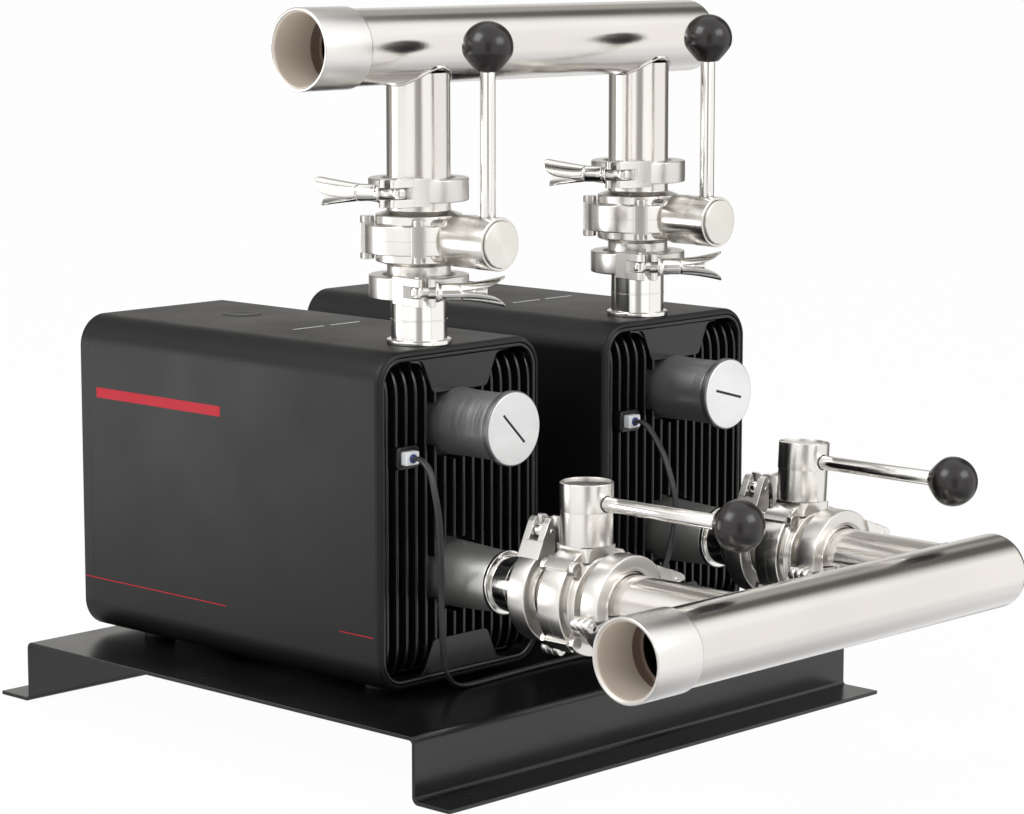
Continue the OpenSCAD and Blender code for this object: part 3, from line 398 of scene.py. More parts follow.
print_red = surface("print_red", (0.42, 0.008, 0.02), 0.5, 0, ((60,), 0.36, 0.44), Specular_IOR_Level=0.15)
print_white = surface("print_white", (0.55, 0.55, 0.55), 0.4, 0, ((60,), 0.36, 0.46))
# Near black, put in the cap's slot and as the rod's and set screw's holes: painted shade inside them.
recess_painted_shade = surface("recess_painted_shade", (0.006, 0.006, 0.006), 0.6, 0, ((60,), 0.5, 0.7))


def plain(name, color, roughness, metallic=0.0, scale=200):
    """A look for the pieces inside the housings."""
    return surface(name, color, roughness, metallic,
                   ((scale / 8,), max(0, roughness - 0.06), roughness + 0.06),
                   relief=((scale,), 0.2, 0.0001, 0.0004))


cast_aluminium = plain("cast_aluminium", (0.42, 0.43, 0.45), 0.5, 0.8, 900)
stage_steel = plain("stage_steel", (0.65, 0.63, 0.6), 0.25, 1.0)
brass = plain("brass", (0.75, 0.52, 0.22), 0.25, 1.0)
copper = plain("winding_copper", (0.5, 0.22, 0.1), 0.35, 0.7, 1200)
tank_blue = plain("tank_blue", (0.03, 0.1, 0.4), 0.3)
board_green = plain("board_green", (0.01, 0.12, 0.04), 0.35, 0.0, 900)
seat_rubber = plain("seat_rubber", (0.6, 0.58, 0.54), 0.55, 0.0, 900)


def dress(material, *names):
    """Gives CAD nodes their material."""
    for name in names:
        mesh = nodes[name].data
        mesh.materials.clear()
        mesh.materials.append(material)


def both(suffix):
    return [f"{side}_{suffix}" for side in SIDES]


dress(base_black, "base_plate")
dress(rubber_black, "pump_feet", "shaft_seals")
dress(housing_black, *both("housing_sleeve"), *both("rear_cover"))
dress(cover_black, *both("front_cover"), "data_sockets")
dress(cap_silver, *both("priming_cap"))
dress(machined, *both("motor_rotor"), "shaft_bearings", "clamp_bolts", "valve_bolts")
dress(stage_steel, *both("impellers"))
dress(brass, *both("check_poppet"))
dress(collar_grey, "port_collars")
dress(cast_aluminium, "pump_casings", "motor_shells")
dress(copper, "motor_stators")
dress(tank_blue, "pressure_tanks")
dress(board_green, "inverter_boards")
dress(seat_rubber, "valve_seats", "clamp_gaskets")
dress(satin["z"], "clamp_rings")
dress(band_steel["z"], "pump_adapters")
dress(manifold_steel, "suction_manifold", "discharge_manifold")
dress(socket_steel, "pipe_sockets")
dress(cable_black, "link_cable")
dress(plug_white, "cable_plugs")


# Places of the pumps, valves and clamps
class Pump:
    def __init__(self, side):
        low, high = mm_box(side + "_housing_sleeve")
        self.side = side
        self.mid_x = (low.x + high.x) / 2
        self.half_w = (high.x - low.x) / 2
        self.low_z = low.z
        self.top_z = high.z
        self.mid_z = (low.z + high.z) / 2
        self.half_h = (high.z - low.z) / 2
        self.front = low.y
        self.back = high.y
        cap = joint_at[side + "_cap_turn"]
        rotor = joint_at[side + "_rotor_spin"]
        self.port_x = rotor.x
        self.suction_z = rotor.z
        self.priming_z = cap.z
        self.cap_y = cap.y


VALVE_TURNS = {"suction": (0, -90, 90), "discharge": (0, 0, -90)}
# This valve was clamped with its handle a little off the upright
ROLLS = {"right_suction": -3.5}
VALVE_HALF = 38.5
# Name, place along the valve, turn about the pipe, turned over or not, and the nut's turn
CLAMPS = {
    "suction": (("rear", -1, 5, 0, 20), ("front", 1, 280, 0, 60)),
    "discharge": (("lower", -1, 320, 180, 80), ("upper", 1, 292, 0, 52)),
}


class Valve:
    def __init__(self, side, port):
        self.side = side
        self.port = port
        self.name = f"{side}_{port}"
        self.centre = joint_at[self.name + "_valve_turn"]
        self.port_frame = at(*self.centre, VALVE_TURNS[port])
        self.frame = self.port_frame @ at(turn=(0, 0, ROLLS.get(self.name, 0)))
        self.flow = "y" if port == "suction" else "z"
        self.hub = "z" if port == "suction" else "y"

    def clamp_frame(self, clamp):
        return (self.port_frame @ at(0, 0, clamp[1] * VALVE_HALF) @ at(turn=(0, 0, clamp[2]))
                @ at(turn=(clamp[3], 0, 0)))


pumps = [Pump(side) for side in SIDES]
valves = [Valve(side, port) for side in SIDES for port in ("suction", "discharge")]
base_low, base_high = mm_box("base_plate")
ROW_Y = (base_low.y + base_high.y) / 2


# Link cable: the route's points, with its wide side along X or Y
PLUG_FRONT = pumps[0].front - 7
DATA_X = 31 - pumps[0].half_w
DATA_Z = pumps[0].top_z - 84.3
CABLE_W = 6.0
CABLE_T = 3.0
CABLE_AROUND = 20
PLUG_LEN = 20
LYING = base_high.z + CABLE_T / 2 + 0.3
ROUTE = [
    ((pumps[0].mid_x + DATA_X, PLUG_FRONT - ROW_Y, DATA_Z), 0), ((-177.5, -158, 246), 0),
    ((-178, -169, 238), 0), ((-178, -174, 222), 0), ((-175, -175, 204), 0), ((-171, -173, 184), 0),
    ((-167, -170, 164), 0), ((-163, -166, 143), 0), ((-160, -163, 121), 0), ((-156, -160, 100), 0),
    ((-151, -157, 80), 0), ((-142, -154, 63), 1), ((-127, -152, LYING + 1.4), 1),
    ((-108, -151, LYING), 1), ((-80, -149, LYING), 1), ((-50, -147, LYING), 1),
    ((-18, -146, LYING), 1), ((10, -146, LYING), 1), ((32, -150, LYING + 1.4), 1),
    ((48, -160, 63), 1), ((60, -172, 80), 0), ((68, -182, 100), 0), ((75, -189, 121), 0),
    ((80, -193, 143), 0), ((84, -195, 164), 0), ((85, -195, 184), 0), ((84, -190, 204), 0),
    ((84, -182, 222), 0), ((84, -170, 238), 0), ((84.5, -159, 246), 0),
    ((pumps[1].mid_x + DATA_X, PLUG_FRONT - ROW_Y, DATA_Z), 0)]


def route_curve(steps):
    """Points and wide directions on the smooth curve through the route's points."""
    points = [Vector(p) + Vector((0, ROW_Y, 0)) for p, _ in ROUTE]
    wides = [Vector((1, 0, 0)) if w == 0 else Vector((0, 1, 0)) for _, w in ROUTE]
    last = len(points) - 1
    path, sides = [], []
    for i in range(last):
        a, b, c, d = (points[min(max(k, 0), last)] for k in (i - 1, i, i + 1, i + 2))
        for k in range(steps + (i == last - 1)):
            t = k / steps
            path.append(0.5 * (2 * b + (c - a) * t + (2 * a - 5 * b + 4 * c - d) * t * t
                               + (3 * b - a - 3 * c + d) * t ** 3))
            sides.append(wides[i].lerp(wides[i + 1], t))
    return path, sides


def make_cable():
    path, sides = route_curve(6)
    flat = CABLE_W / 2 - CABLE_T / 2
    rings = []
    for i, point in enumerate(path):
        along = (path[min(i + 1, len(path) - 1)] - path[max(i - 1, 0)]).normalized()
        wide = (sides[i] - sides[i].dot(along) * along).normalized()
        up = along.cross(wide)
        ring = []
        for a in turns(CABLE_AROUND):
            x = math.copysign(flat, math.cos(a)) + CABLE_T / 2 * math.cos(a)
            ring.append(point + wide * x + up * CABLE_T / 2 * math.sin(a))
        rings.append(ring)
    bm = bmesh.new()
    loft(bm, rings)
    cable = piece("flat_link_cable", bm, cable_black, slot="cable_black",
                  stands_for=["link_cable"], sharp=60)
    length = sum((b - a).length for a, b in zip(path, path[1:]))
    return cable, path, length


def make_plug(pump):
    """White plug with a blue strain relief round the cable's root."""
    centre = at(pump.mid_x + DATA_X, PLUG_FRONT, DATA_Z, (90, 0, 0))
    bm = bmesh.new()
    outline = fillet([(-7.3, -5.3), (7.3, -5.3), (7.3, 5.3), (-7.3, 5.3)], 1.4)
    pillow(bm, outline, -PLUG_LEN, 0, 0.8, centre)
    plug = piece(pump.side + "_link_plug", bm, plug_white, slot="plug_white")
    relief = turned(pump.side + "_plug_relief", centre,
                    [(0, -1), (3.6, -1), (3.6, 1.2), (2.9, 2.2), (0, 2.2)], [0, 0, 0.5, 0.4, 0],
                    plug_blue, slot="plug_white", count=40, steps=3)
    return plug, relief


cable, cable_path, cable_length = make_cable()
cable_ends = [p for pump in pumps for p in make_plug(pump)]
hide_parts("cable_plugs")


# Pump housings
CORNER_R = 26.0


def rim(pump, inset, y, steps=14):
    """One ring of the pump's rounded outline, inset, at a place in Y."""
    w = pump.half_w - inset
    h = pump.half_h - inset
    r = max(1.0, CORNER_R - inset)
    ring = []
    for quarter, (sx, sz) in enumerate(((1, 1), (-1, 1), (-1, -1), (1, -1))):
        for k in range(steps + 1):
            a = math.pi / 2 * (quarter + k / steps)
            ring.append(Vector((pump.mid_x + sx * (w - r) + r * math.cos(a), y,
                                pump.mid_z + sz * (h - r) + r * math.sin(a))))
    return ring


def arc(y, inset, dy, di, steps=5):
    """Insets and places along a quarter of an ellipse, from (y, inset) on."""
    return [(y + dy * math.sin(a), inset + di * (1 - math.cos(a))) for a in quarter_turns(steps)]


EDGE_R = 5.0


def make_sleeve(pump):
    front = pump.front
    profile = [(pump.back, 0)]
    profile += arc(front + EDGE_R, 0, -EDGE_R, 4.4)
    profile += [(front + 0.8, 4.9), (front + 8, 4.9), (pump.back, 3)]
    bm = bmesh.new()
    loft(bm, [rim(pump, inset, y) for y, inset in profile], caps=False)
    piece(pump.side + "_sleeve_shell", bm, housing_black, slot="housing_black",
          stands_for=[pump.side + "_housing_sleeve"])


RECESS = 18.0
RIM_IN = 8.4
RIB_COUNT = 16
RIB_PITCH = 10.7
RIB_T = 3.0
RIB_CREST = 2.0
RIB_SLANT = 24.0
RIB_ROOT = 5
RIB_STEPS = 8
RIB_MARGIN = 13
PORT_CLEAR = 30.5
TAB_W = 88.0
TAB_H = 22.0
TAB_T = 3.2


def rib_spans(pump, x, half):
    """Stretches of a rib along Z, left free where it meets a port's round pocket."""
    low, high = pump.mid_z - half, pump.mid_z + half
    cuts = []
    for z in (pump.suction_z, pump.priming_z):
        off = abs(x - pump.port_x)
        if off < PORT_CLEAR:
            reach = math.sqrt(PORT_CLEAR ** 2 - off ** 2)
            cuts.append((z - reach, z + reach))
    if abs(x - pump.mid_x - DATA_X) < 12.5 + RIB_T / 2:
        cuts.append((DATA_Z - 9.2, DATA_Z + 9.2))
    spans = []
    start = low
    for a, b in sorted(cuts):
        spans.append((start, a))
        start = b
    spans.append((start, high))
    return [s for s in spans if s[1] - s[0] > 1], low, high


def rib_side(y_plate, y_crest, z0, z1, low, high):
    """Outline of a stretch of rib in Y and Z, with its outer ends curved back."""
    def end(z, sign):
        return [(y_plate - RIB_ROOT + (y_crest - y_plate + RIB_ROOT) * math.sin(a),
                 z + sign * RIB_SLANT * (1 - math.cos(a))) for a in quarter_turns(RIB_STEPS)]

    lower = end(z0, 1) if z0 == low else [(y_crest, z0)]
    upper = end(z1, -1)[::-1] if z1 == high else [(y_crest, z1)]
    return [(y_plate, z0), *lower, *upper, (y_plate, z1)]


def make_cover(pump):
    front = pump.front
    plate = front + RECESS
    bm = bmesh.new()
    profile = [(front + 9, 5.1), (front + 1.5, 5.1)]
    profile += arc(front + 1.5, 5.1, -1.1, 1.0, 3)
    profile += [(front + 0.4, 7.0)]
    profile += [(front + 0.4 + (1 - math.cos(a)) * 1.4, 7.0 + math.sin(a) * 1.4)
                for a in (math.pi / 8, math.pi / 4, 3 * math.pi / 8, math.pi / 2)]
    profile += [(plate, RIM_IN), (plate, RIM_IN + 2)]
    loft(bm, [rim(pump, inset, y) for y, inset in profile], caps=False)
    bm.faces.new([bm.verts.new(p) for p in rim(pump, RIM_IN - 0.5, plate)])
    half = pump.half_h - RIB_MARGIN
    for i in range(RIB_COUNT):
        off = (i - (RIB_COUNT - 1) / 2) * RIB_PITCH
        spans, low, high = rib_spans(pump, pump.mid_x + off, half)
        for z0, z1 in spans:
            side = rib_side(plate + 0.5, front + RIB_CREST, z0, z1, low, high)
            x = pump.mid_x + off
            rings = []
            for dx, inset in ((-RIB_T / 2, 0.9), (-RIB_T / 2 + 0.25, 0.25), (-RIB_T / 2 + 0.9, 0),
                              (RIB_T / 2 - 0.9, 0), (RIB_T / 2 - 0.25, 0.25), (RIB_T / 2, 0.9)):
                rings.append([Vector((x + dx, min(y + inset, plate + 0.5), z)) for y, z in side])
            loft(bm, rings)
    piece(pump.side + "_ribbed_face", bm, cover_black, slot="cover_black",
          stands_for=[pump.side + "_front_cover"], sharp=40)


def make_tabs(pump):
    """Flat tabs at the middle of the face's rim, above and below."""
    bm = bmesh.new()
    foot = TAB_W / 2
    tip = foot - TAB_H * 0.62
    root = 6.0
    drop = TAB_H + RIM_IN - 3
    outline = [(-foot - 8, root), (foot + 8, root), (foot + 8, 5.6), (foot - 2, 5.2),
               (tip, -drop + root), (-tip, -drop + root), (-foot + 2, 5.2), (-foot - 8, 5.6)]
    outline = fillet(outline, [0, 0, 0, 7, 5, 5, 7, 0], 5)
    for sign in (1, -1):
        level = pump.mid_z + sign * (pump.half_h - RIM_IN - 6.4)
        place = at(pump.mid_x, pump.front + 1 + TAB_T, level, (90, 0, 0)) @ Matrix.Diagonal((1, sign, 1, 1))
        prism(bm, outline, 0, TAB_T, place)
    piece(pump.side + "_face_tabs", bm, cover_black, slot="cover_black", edge=0.8)


def make_data_socket(pump):
    place = at(pump.mid_x + DATA_X, pump.front - 2, DATA_Z, (90, 0, 0))
    outer = fillet([(-12.3, -9), (12.3, -9), (12.3, 9), (-12.3, 9)], 3, 4)
    inner = fillet([(-7.7, -5.7), (7.7, -5.7), (7.7, 5.7), (-7.7, 5.7)], 1.5, 4)
    bm = bmesh.new()
    rings = []
    for outline, height, grow in ((outer, -RECESS, 1), (outer, -1.2, 1), (outer, -0.3, 0.97),
                                  (outer, 0, 0.93), (inner, 0, 1.05), (inner, -0.8, 1), (inner, -12, 1)):
        rings.append([place @ Vector((p[0] * grow, p[1] * grow, height)) for p in outline])
    loft(bm, rings)
    return piece(pump.side + "_data_socket", bm, cover_black, slot="cover_black")


COLLAR_LEN = 50.0
NECK_LEN = 53.0
CAP_TURNS = {"left": 45, "right": 15}
CAP_FACE = 7.0
SLOT_FLOOR = 5.2


def make_ports(pump):
    """Suction collar and priming neck, with the silver cap that turns."""
    root = pump.front + RECESS
    length = root - (pump.front - COLLAR_LEN)
    bore = 20.2
    collar = turned(pump.side + "_suction_collar", at(pump.port_x, root, pump.suction_z, (90, 0, 0)),
                    [(bore, 0), (27, 0), (26.8, RECESS), (24.5, length), (bore, length)],
                    [0, 0, 9, 1.6, 0.6], collar_grey, slot="collar_grey")
    length = root - (pump.front - NECK_LEN)
    turned(pump.side + "_priming_neck", at(pump.port_x, root, pump.priming_z, (90, 0, 0)),
           [(18, 0), (27.6, 0), (27.4, RECESS), (26.6, RECESS + 16), (26.8, length - 12),
            (27.4, length - 3), (27.4, length), (18, length)],
           [0, 0, 9, 12, 12, 3, 0.8, 0], neck_grey, slot="collar_grey")
    body = pump.side + "_cap"
    bm = bmesh.new()
    cap = at(pump.port_x, pump.cap_y - 0.1, pump.priming_z, (90, 0, 0))
    outline = [(0, 0), (29.2, 0), (30, 1.2), (30, 5.6), (29.4, 6.6), (28.6, 6.6), (0, 6.6)]
    lathe(bm, fillet(outline, [0, 0.6, 0.4, 0.6, 0.3, 0, 0]), cap)
    lathe(bm, [(0, -22), (17.9, -22), (17.9, 0.1), (0, 0.1)], cap, 64)
    piece(pump.side + "_cap_rim", bm, rim_grey, body, "collar_grey", [pump.side + "_priming_cap"])
    bm = bmesh.new()
    slot = at(pump.port_x, pump.cap_y - 0.1, pump.priming_z, (90, CAP_TURNS[pump.side], 0))
    slot_half = 17.0
    slot_w = 1.1
    rings = [[slot @ Vector((*p, height)) for p in circle(radius, 96)]
             for radius, height in ((28.9, 6.5), (28.9, 6.8), (28.6, CAP_FACE))]
    loft(bm, rings, caps=False)
    lip = []
    for a in turns(96):
        c, s = math.cos(a), math.sin(a)
        reach = min(slot_half / max(abs(c), 1e-6), slot_w / max(abs(s), 1e-6))
        lip.append((reach * c, reach * s))
    walls = [[slot @ Vector((*p, height)) for p in lip] for height in (CAP_FACE, SLOT_FLOOR)]
    loft(bm, [rings[-1], *walls], caps=False)
    piece(pump.side + "_cap_face", bm, cap_silver, body, "cap_silver", sharp=25)
    # A near-black block fills the slot just under its lip: painted shade in the slot.
    bm = bmesh.new()
    block(bm, (-slot_half, -slot_w, 5.1), (slot_half, slot_w, 6.8), 0, slot)
    piece(pump.side + "_cap_slot_shade", bm, recess_painted_shade, body, "cap_silver")
    return collar


def make_marks(pump):
    """Thin prints on the side and top: two red lines, a red bar, two short bars and a disc."""
    side_x = pump.mid_x - pump.half_w
    proud = 0.12

    def strip(bm, y0, y1, z0, z1):
        block(bm, (side_x - proud, ROW_Y + min(y0, y1), z0), (side_x + 0.3, ROW_Y + max(y0, y1), z1), 0)

    bm = bmesh.new()
    strip(bm, 223, 40, 104.1, 104.9)
    strip(bm, -97, -135, 104.1, 104.9)
    strip(bm, 204, 44.5, 262, 270.6)
    piece(pump.side + "_side_prints", bm, print_red, slot="housing_black")
    bm = bmesh.new()
    top = pump.top_z
    for x0, x1 in ((-30.5, 3.5), (11.5, 44.5)):
        block(bm, (pump.mid_x + x0, ROW_Y + 20.6, top - 0.3),
              (pump.mid_x + x1, ROW_Y + 23.4, top + proud), 0)
    piece(pump.side + "_top_bars", bm, print_white, slot="housing_black")
    turned(pump.side + "_top_disc", at(pump.mid_x + 11.5, ROW_Y + 133, top),
           [(0, -0.5), (17, -0.5), (17, 0.15), (16.2, 0.5), (0, 0.5)], 0.2,
           housing_black, slot="housing_black", count=72, steps=2)


for pump in pumps:
    make_sleeve(pump)
    make_cover(pump)
    make_tabs(pump)
    make_data_socket(pump)
    make_ports(pump)
    make_marks(pump)
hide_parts("data_sockets")
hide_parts("port_collars")


# Pump adapters
TUBE_R = 25.4
BORE_R = TUBE_R - 1.65
FERRULE_R = 32.0
GASKET = 0.8


def flare(neck, face):
    """The points where a tube widens to its clamped face."""
    return [(neck, face - 6.2), (neck + 2, face - 4.6), (FERRULE_R, face - 2.4), (FERRULE_R, face)]


def ferrule(neck, bore, face, foot):
    """Outline of a tube from its foot up to its clamped face."""
    return fillet([(bore, foot), (neck, foot), *flare(neck, face), (bore, face)],
                  [0, 0, 2.5, 1.5, 0.7, 0.4, 0.3])


def make_adapter(name, place, length, axis):
    r = 22.5
    bm = bmesh.new()
    lathe(bm, ferrule(r, r - 2.5, length - GASKET, 3.8), place)
    spigot = [(17.5, -23.5), (20.1, -23.5), (20.1, 0), (26, 0), (26, 3.6), (24.6, 4.2), (r, 4.4), (17.5, 4.4)]
    lathe(bm, fillet(spigot, [0, 0.5, 0, 0.8, 0.8, 0.5, 0, 0]), place)
    ring_at = length * 0.42
    bead = [(r - 0.4, ring_at - 0.9), (r + 0.35, ring_at - 0.5),
            (r + 0.35, ring_at + 0.5), (r - 0.4, ring_at + 0.9)]
    lathe(bm, bead, place)
    return piece(name, bm, polished[axis], slot="polished_steel")


for valve in valves:
    pump = pumps[SIDES.index(valve.side)]
    if valve.port == "suction":
        foot = at(pump.port_x, pump.front - COLLAR_LEN, pump.suction_z, (90, 0, 0))
        reach = pump.front - COLLAR_LEN - valve.centre.y
    else:
        foot = at(valve.centre.x, valve.centre.y, pump.top_z)
        reach = valve.centre.z - pump.top_z
    make_adapter(valve.name + "_adapter", foot, reach - VALVE_HALF, valve.flow)
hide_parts("pump_adapters")


# Butterfly valves
BODY_R = 44.0
BODY_T = 23.0
SHOULDER_R = 34.5
SHOULDER_H = 7.0
SEAT_R = 30.2
SEAT_H = 9.2
EAR_REACH = BODY_R - 3
EAR_R = 5.5
EAR_H = BODY_T / 2 + 0.5
SPLIT = 0.03
BOLT_TURNS = (45, 135, 225, 315)
HEX_R = 5.8
HEX_H = 5.2
HUB_R = 17.2
HUB_FOOT = 32.0
BARREL_R = 21.0
BARREL_FROM = BODY_R - 0.7
BARREL_END = 92.0
ROD_X = 76.7
ROD_R = 6.0
LEVER = 152.0
KNOB_R = 20.0
KNOB_WAIST = -5.0
KNOB_LOW = -18.8
KNOB_FOOT_R = 8.6


def make_body(valve):
    """Two drum halves on a middle split, with flat bolt ears and the stem's squared boss."""
    bm = bmesh.new()
    face = VALVE_HALF - GASKET
    flank = BODY_T / 2
    shoulder = flank + SHOULDER_H
    outline = [(SEAT_R, SPLIT), (BODY_R - 0.1, SPLIT), (BODY_R, SPLIT + 0.06), (BODY_R, flank),
               (SHOULDER_R, flank), (SHOULDER_R, shoulder), (TUBE_R, shoulder + 3), *flare(TUBE_R, face),
               (BORE_R, face), (BORE_R, SEAT_H), (SEAT_R, SEAT_H)]
    rounded = fillet(outline, [0, 0, 0, 0.9, 1.0, 1.0, 1.2, 1.2, 1, 0.7, 0.4, 0.4, 0, 0])
    ear = fillet([(-EAR_R, -EAR_R), (EAR_R - 0.3, -EAR_R), (EAR_R - 0.3, EAR_R), (-EAR_R, EAR_R)],
                 [0, 0.5, 0.5, 0])
    boss = fillet([(-HUB_R, SPLIT), (HUB_R, SPLIT), (HUB_R, HUB_R), (-HUB_R, HUB_R)], [0, 0, 5, 5])
    for flip in (0, 180):
        half = valve.frame @ at(turn=(flip, 0, 0))
        lathe(bm, rounded, half, 128)
        for a in BOLT_TURNS:
            prism(bm, ear, SPLIT, EAR_H, half @ at(turn=(0, 0, a)) @ at(EAR_REACH))
        prism(bm, boss, HUB_FOOT, BODY_R - 1, half @ STEM_OUT)
    piece(valve.name + "_body_shell", bm, body_steel[valve.flow], slot="polished_steel",
          stands_for=[valve.name + "_valve_body"])


def hexagon(bm, radius, low, high, place):
    """Hexagon head with a turned chamfer on its outer face."""
    rings = []
    for height, shrink in ((low, 0.0), (high - 1.1, 0.0), (high - 0.3, 0.45), (high, 1.0)):
        ring = []
        for a in turns(36):
            hexed = radius * math.cos(math.pi / 6) / math.cos((a % (math.pi / 3)) - math.pi / 6)
            r = min(hexed, radius - 0.2) if not shrink else min(hexed, radius * (0.97 - 0.1 * shrink))
            ring.append(place @ Vector((r * math.cos(a), r * math.sin(a), height)))
        rings.append(ring)
    loft(bm, rings)


def make_valve_bolts():
    bm = bmesh.new()
    for valve in valves:
        for a in BOLT_TURNS:
            for flip in (0, 180):
                place = valve.frame @ at(turn=(0, 0, a)) @ at(EAR_REACH) @ at(turn=(flip, 0, 13 + a))
                hexagon(bm, HEX_R, EAR_H, EAR_H + HEX_H, place)
    piece("flange_bolt_heads", bm, machined, slot="machined_steel", stands_for=["valve_bolts"], sharp=25)


def make_handle(valve):
    """Barrel with a seam and an inset lid, its rod in a plain hole, and the ball knob. The holes' shade is
    painted: a near-black ring round the rod and a near-black disc for the set screw.
    """
    body = valve.name + "_lever"
    hub = valve.frame @ ALONG_X
    seam = 69.5
    lower_r = BARREL_R - 0.45
    if valve.port == "suction":
        lid_r, rim_h, lid_h = BARREL_R - 1.7, BARREL_END, BARREL_END - 1.3
    else:
        lid_r, rim_h, lid_h = BARREL_R - 2.7, BARREL_END - 2.2, BARREL_END
    outline = [(0, BARREL_FROM), (lower_r, BARREL_FROM), (lower_r, seam), (BARREL_R, seam),
               (BARREL_R, rim_h), (lid_r + 0.5, rim_h), (lid_r + 0.5, rim_h - 2.4), (lid_r, rim_h - 2.4),
               (lid_r, lid_h), (0, lid_h)]
    radii = [0, 0.6, 0, 0.15, 0.7, 0.25, 0, 0, 0.5, 0]
    look = body_steel[valve.hub] if valve.port == "suction" else barrel_steel[valve.hub]
    turned(valve.name + "_barrel", hub, outline, radii, look, body, "satin_steel",
           [valve.name + "_valve_handle"], count=128)
    rod = valve.frame @ at(ROD_X)
    turned(valve.name + "_rod", rod, [(0, 14), (ROD_R, 14), (ROD_R, LEVER - 10), (0, LEVER - 10)], 0.3,
           polished[valve.flow], body, "satin_steel", count=48, steps=2)
    # A near-black ring round the rod and a near-black disc at the set screw stand in for their holes: painted
    # shade, with no hole cut.
    bm = bmesh.new()
    rings = []
    for grow, lift in ((0.0, 0.02), (0.55, 0.06)):
        ring = []
        for a in turns(48):
            r = ROD_R + 0.02 + grow
            x, y = r * math.cos(a), r * math.sin(a)
            ring.append(rod @ Vector((x, y, math.sqrt((BARREL_R + lift) ** 2 - y * y))))
        rings.append(ring)
    loft(bm, rings, caps=False)
    screw = valve.frame @ at(ROD_X - 3.5, -BARREL_R + 0.3, 0, (90, 0, 0))
    lathe(bm, [(0, 0), (2.4, 0), (2.4, 0.2), (0, 0.2)], screw, 32)
    piece(valve.name + "_holes", bm, recess_painted_shade, body, "satin_steel")
    turned(valve.name + "_screw_rim", screw, [(2.4, -0.6), (3.0, -0.6), (3.0, 0.12), (2.4, 0.3)], 0.1,
           satin[valve.hub], body, "satin_steel", count=32, steps=2)
    widest = math.sqrt(KNOB_R ** 2 - KNOB_WAIST ** 2)
    ball = [(0, KNOB_LOW)]
    ball += [(widest - (widest - KNOB_FOOT_R) * t ** 1.25, KNOB_WAIST + (KNOB_LOW - KNOB_WAIST) * t)
             for t in (1 - k / 12 for k in range(12))]
    first = math.asin(KNOB_WAIST / KNOB_R)
    ball += [(KNOB_R * math.cos(a), KNOB_R * math.sin(a))
             for a in (first + (math.pi / 2 - first) * k / 40 for k in range(40))]
    ball += [(0, KNOB_R)]
    turned(valve.name + "_ball_knob", valve.frame @ at(ROD_X, 0, LEVER), ball, None,
           knob_black, body, "knob_black", [valve.name + "_handle_knob"], count=80)


# Clamps
BAND_R = 40.0
BAND_HALF = 9.0
BAND_STEPS = 128
BAND_START = 2
BAND_SWEEP = 176
BOLT_REACH = 51.0
LUG_GAP = 2.5
LUG_T = 6.0
LUG_HALF = 11.0
LUG_MID = LUG_GAP + LUG_T / 2
LUG_BACK = LUG_GAP + LUG_T
LUG_TOP = BOLT_REACH + 7
LUG_TIP = LUG_TOP + LUG_T / 2
FORK_X = BAND_R + 5
FORK_HALF = 4.6
WEDGE_BACK = ((0.8 * BAND_R, 0.59 * BAND_R), (0.84 * BAND_R, 0.38 * BAND_R))
HINGE_X = BAND_R + 6
KNUCKLE_R = 5.5
PIN_R = 2.0
NUT_BOSS = 36.0
NUT_LEN = 55.0


def band_outline():
    return fillet([(BAND_R, -BAND_HALF), (BAND_R, BAND_HALF), (30.2, BAND_HALF), (27.9, 7.1), (27.9, 5.9),
                   (32.3, 3.5), (32.3, -3.5), (27.9, -5.9), (27.9, -7.1), (30.2, -BAND_HALF)],
                  [1.1, 1.1, 1.4, 0.4, 0.4, 0.4, 0.4, 0.4, 0.4, 1.4])


def make_lug(bm, place, knuckles, is_wedge):
    """The forked lug and the hinge knuckles of a clamp half, on the side of positive Y."""
    root = BAND_R - 4.5
    top, low = WEDGE_BACK
    slope = (top[1] - LUG_BACK) / (LUG_TOP - top[0])
    if is_wedge:
        at_fork = LUG_BACK + slope * (LUG_TOP - FORK_X)
        web = [(root, LUG_GAP), (FORK_X, LUG_GAP), (FORK_X, at_fork), top, low]
    else:
        at_fork = LUG_BACK
        web = [(root, LUG_GAP), (FORK_X, LUG_GAP), (FORK_X, LUG_BACK), (root, LUG_BACK)]
    prism(bm, web, -LUG_HALF, LUG_HALF, place)
    prong = [(FORK_X, LUG_GAP), (LUG_TIP, LUG_GAP), (LUG_TIP, LUG_MID), (LUG_TOP, LUG_BACK),
             (FORK_X, at_fork)]
    for z0, z1 in ((-LUG_HALF, -FORK_HALF), (FORK_HALF, LUG_HALF)):
        prism(bm, fillet(prong, [0, 0.8, 2, 1.5, 0]), z0, z1, place)
    for z0, z1 in knuckles:
        knuckle = fillet([(0, z0), (KNUCKLE_R, z0), (KNUCKLE_R, z1), (0, z1)], [0, 0.5, 0.5, 0], 2)
        lathe(bm, knuckle, place @ at(-HINGE_X), 32)
        prism(bm, [(-HINGE_X, 0.5), (-BAND_R + 2, 2), (-BAND_R + 2, 5.5), (-HINGE_X, 5.5)], z0, z1, place)


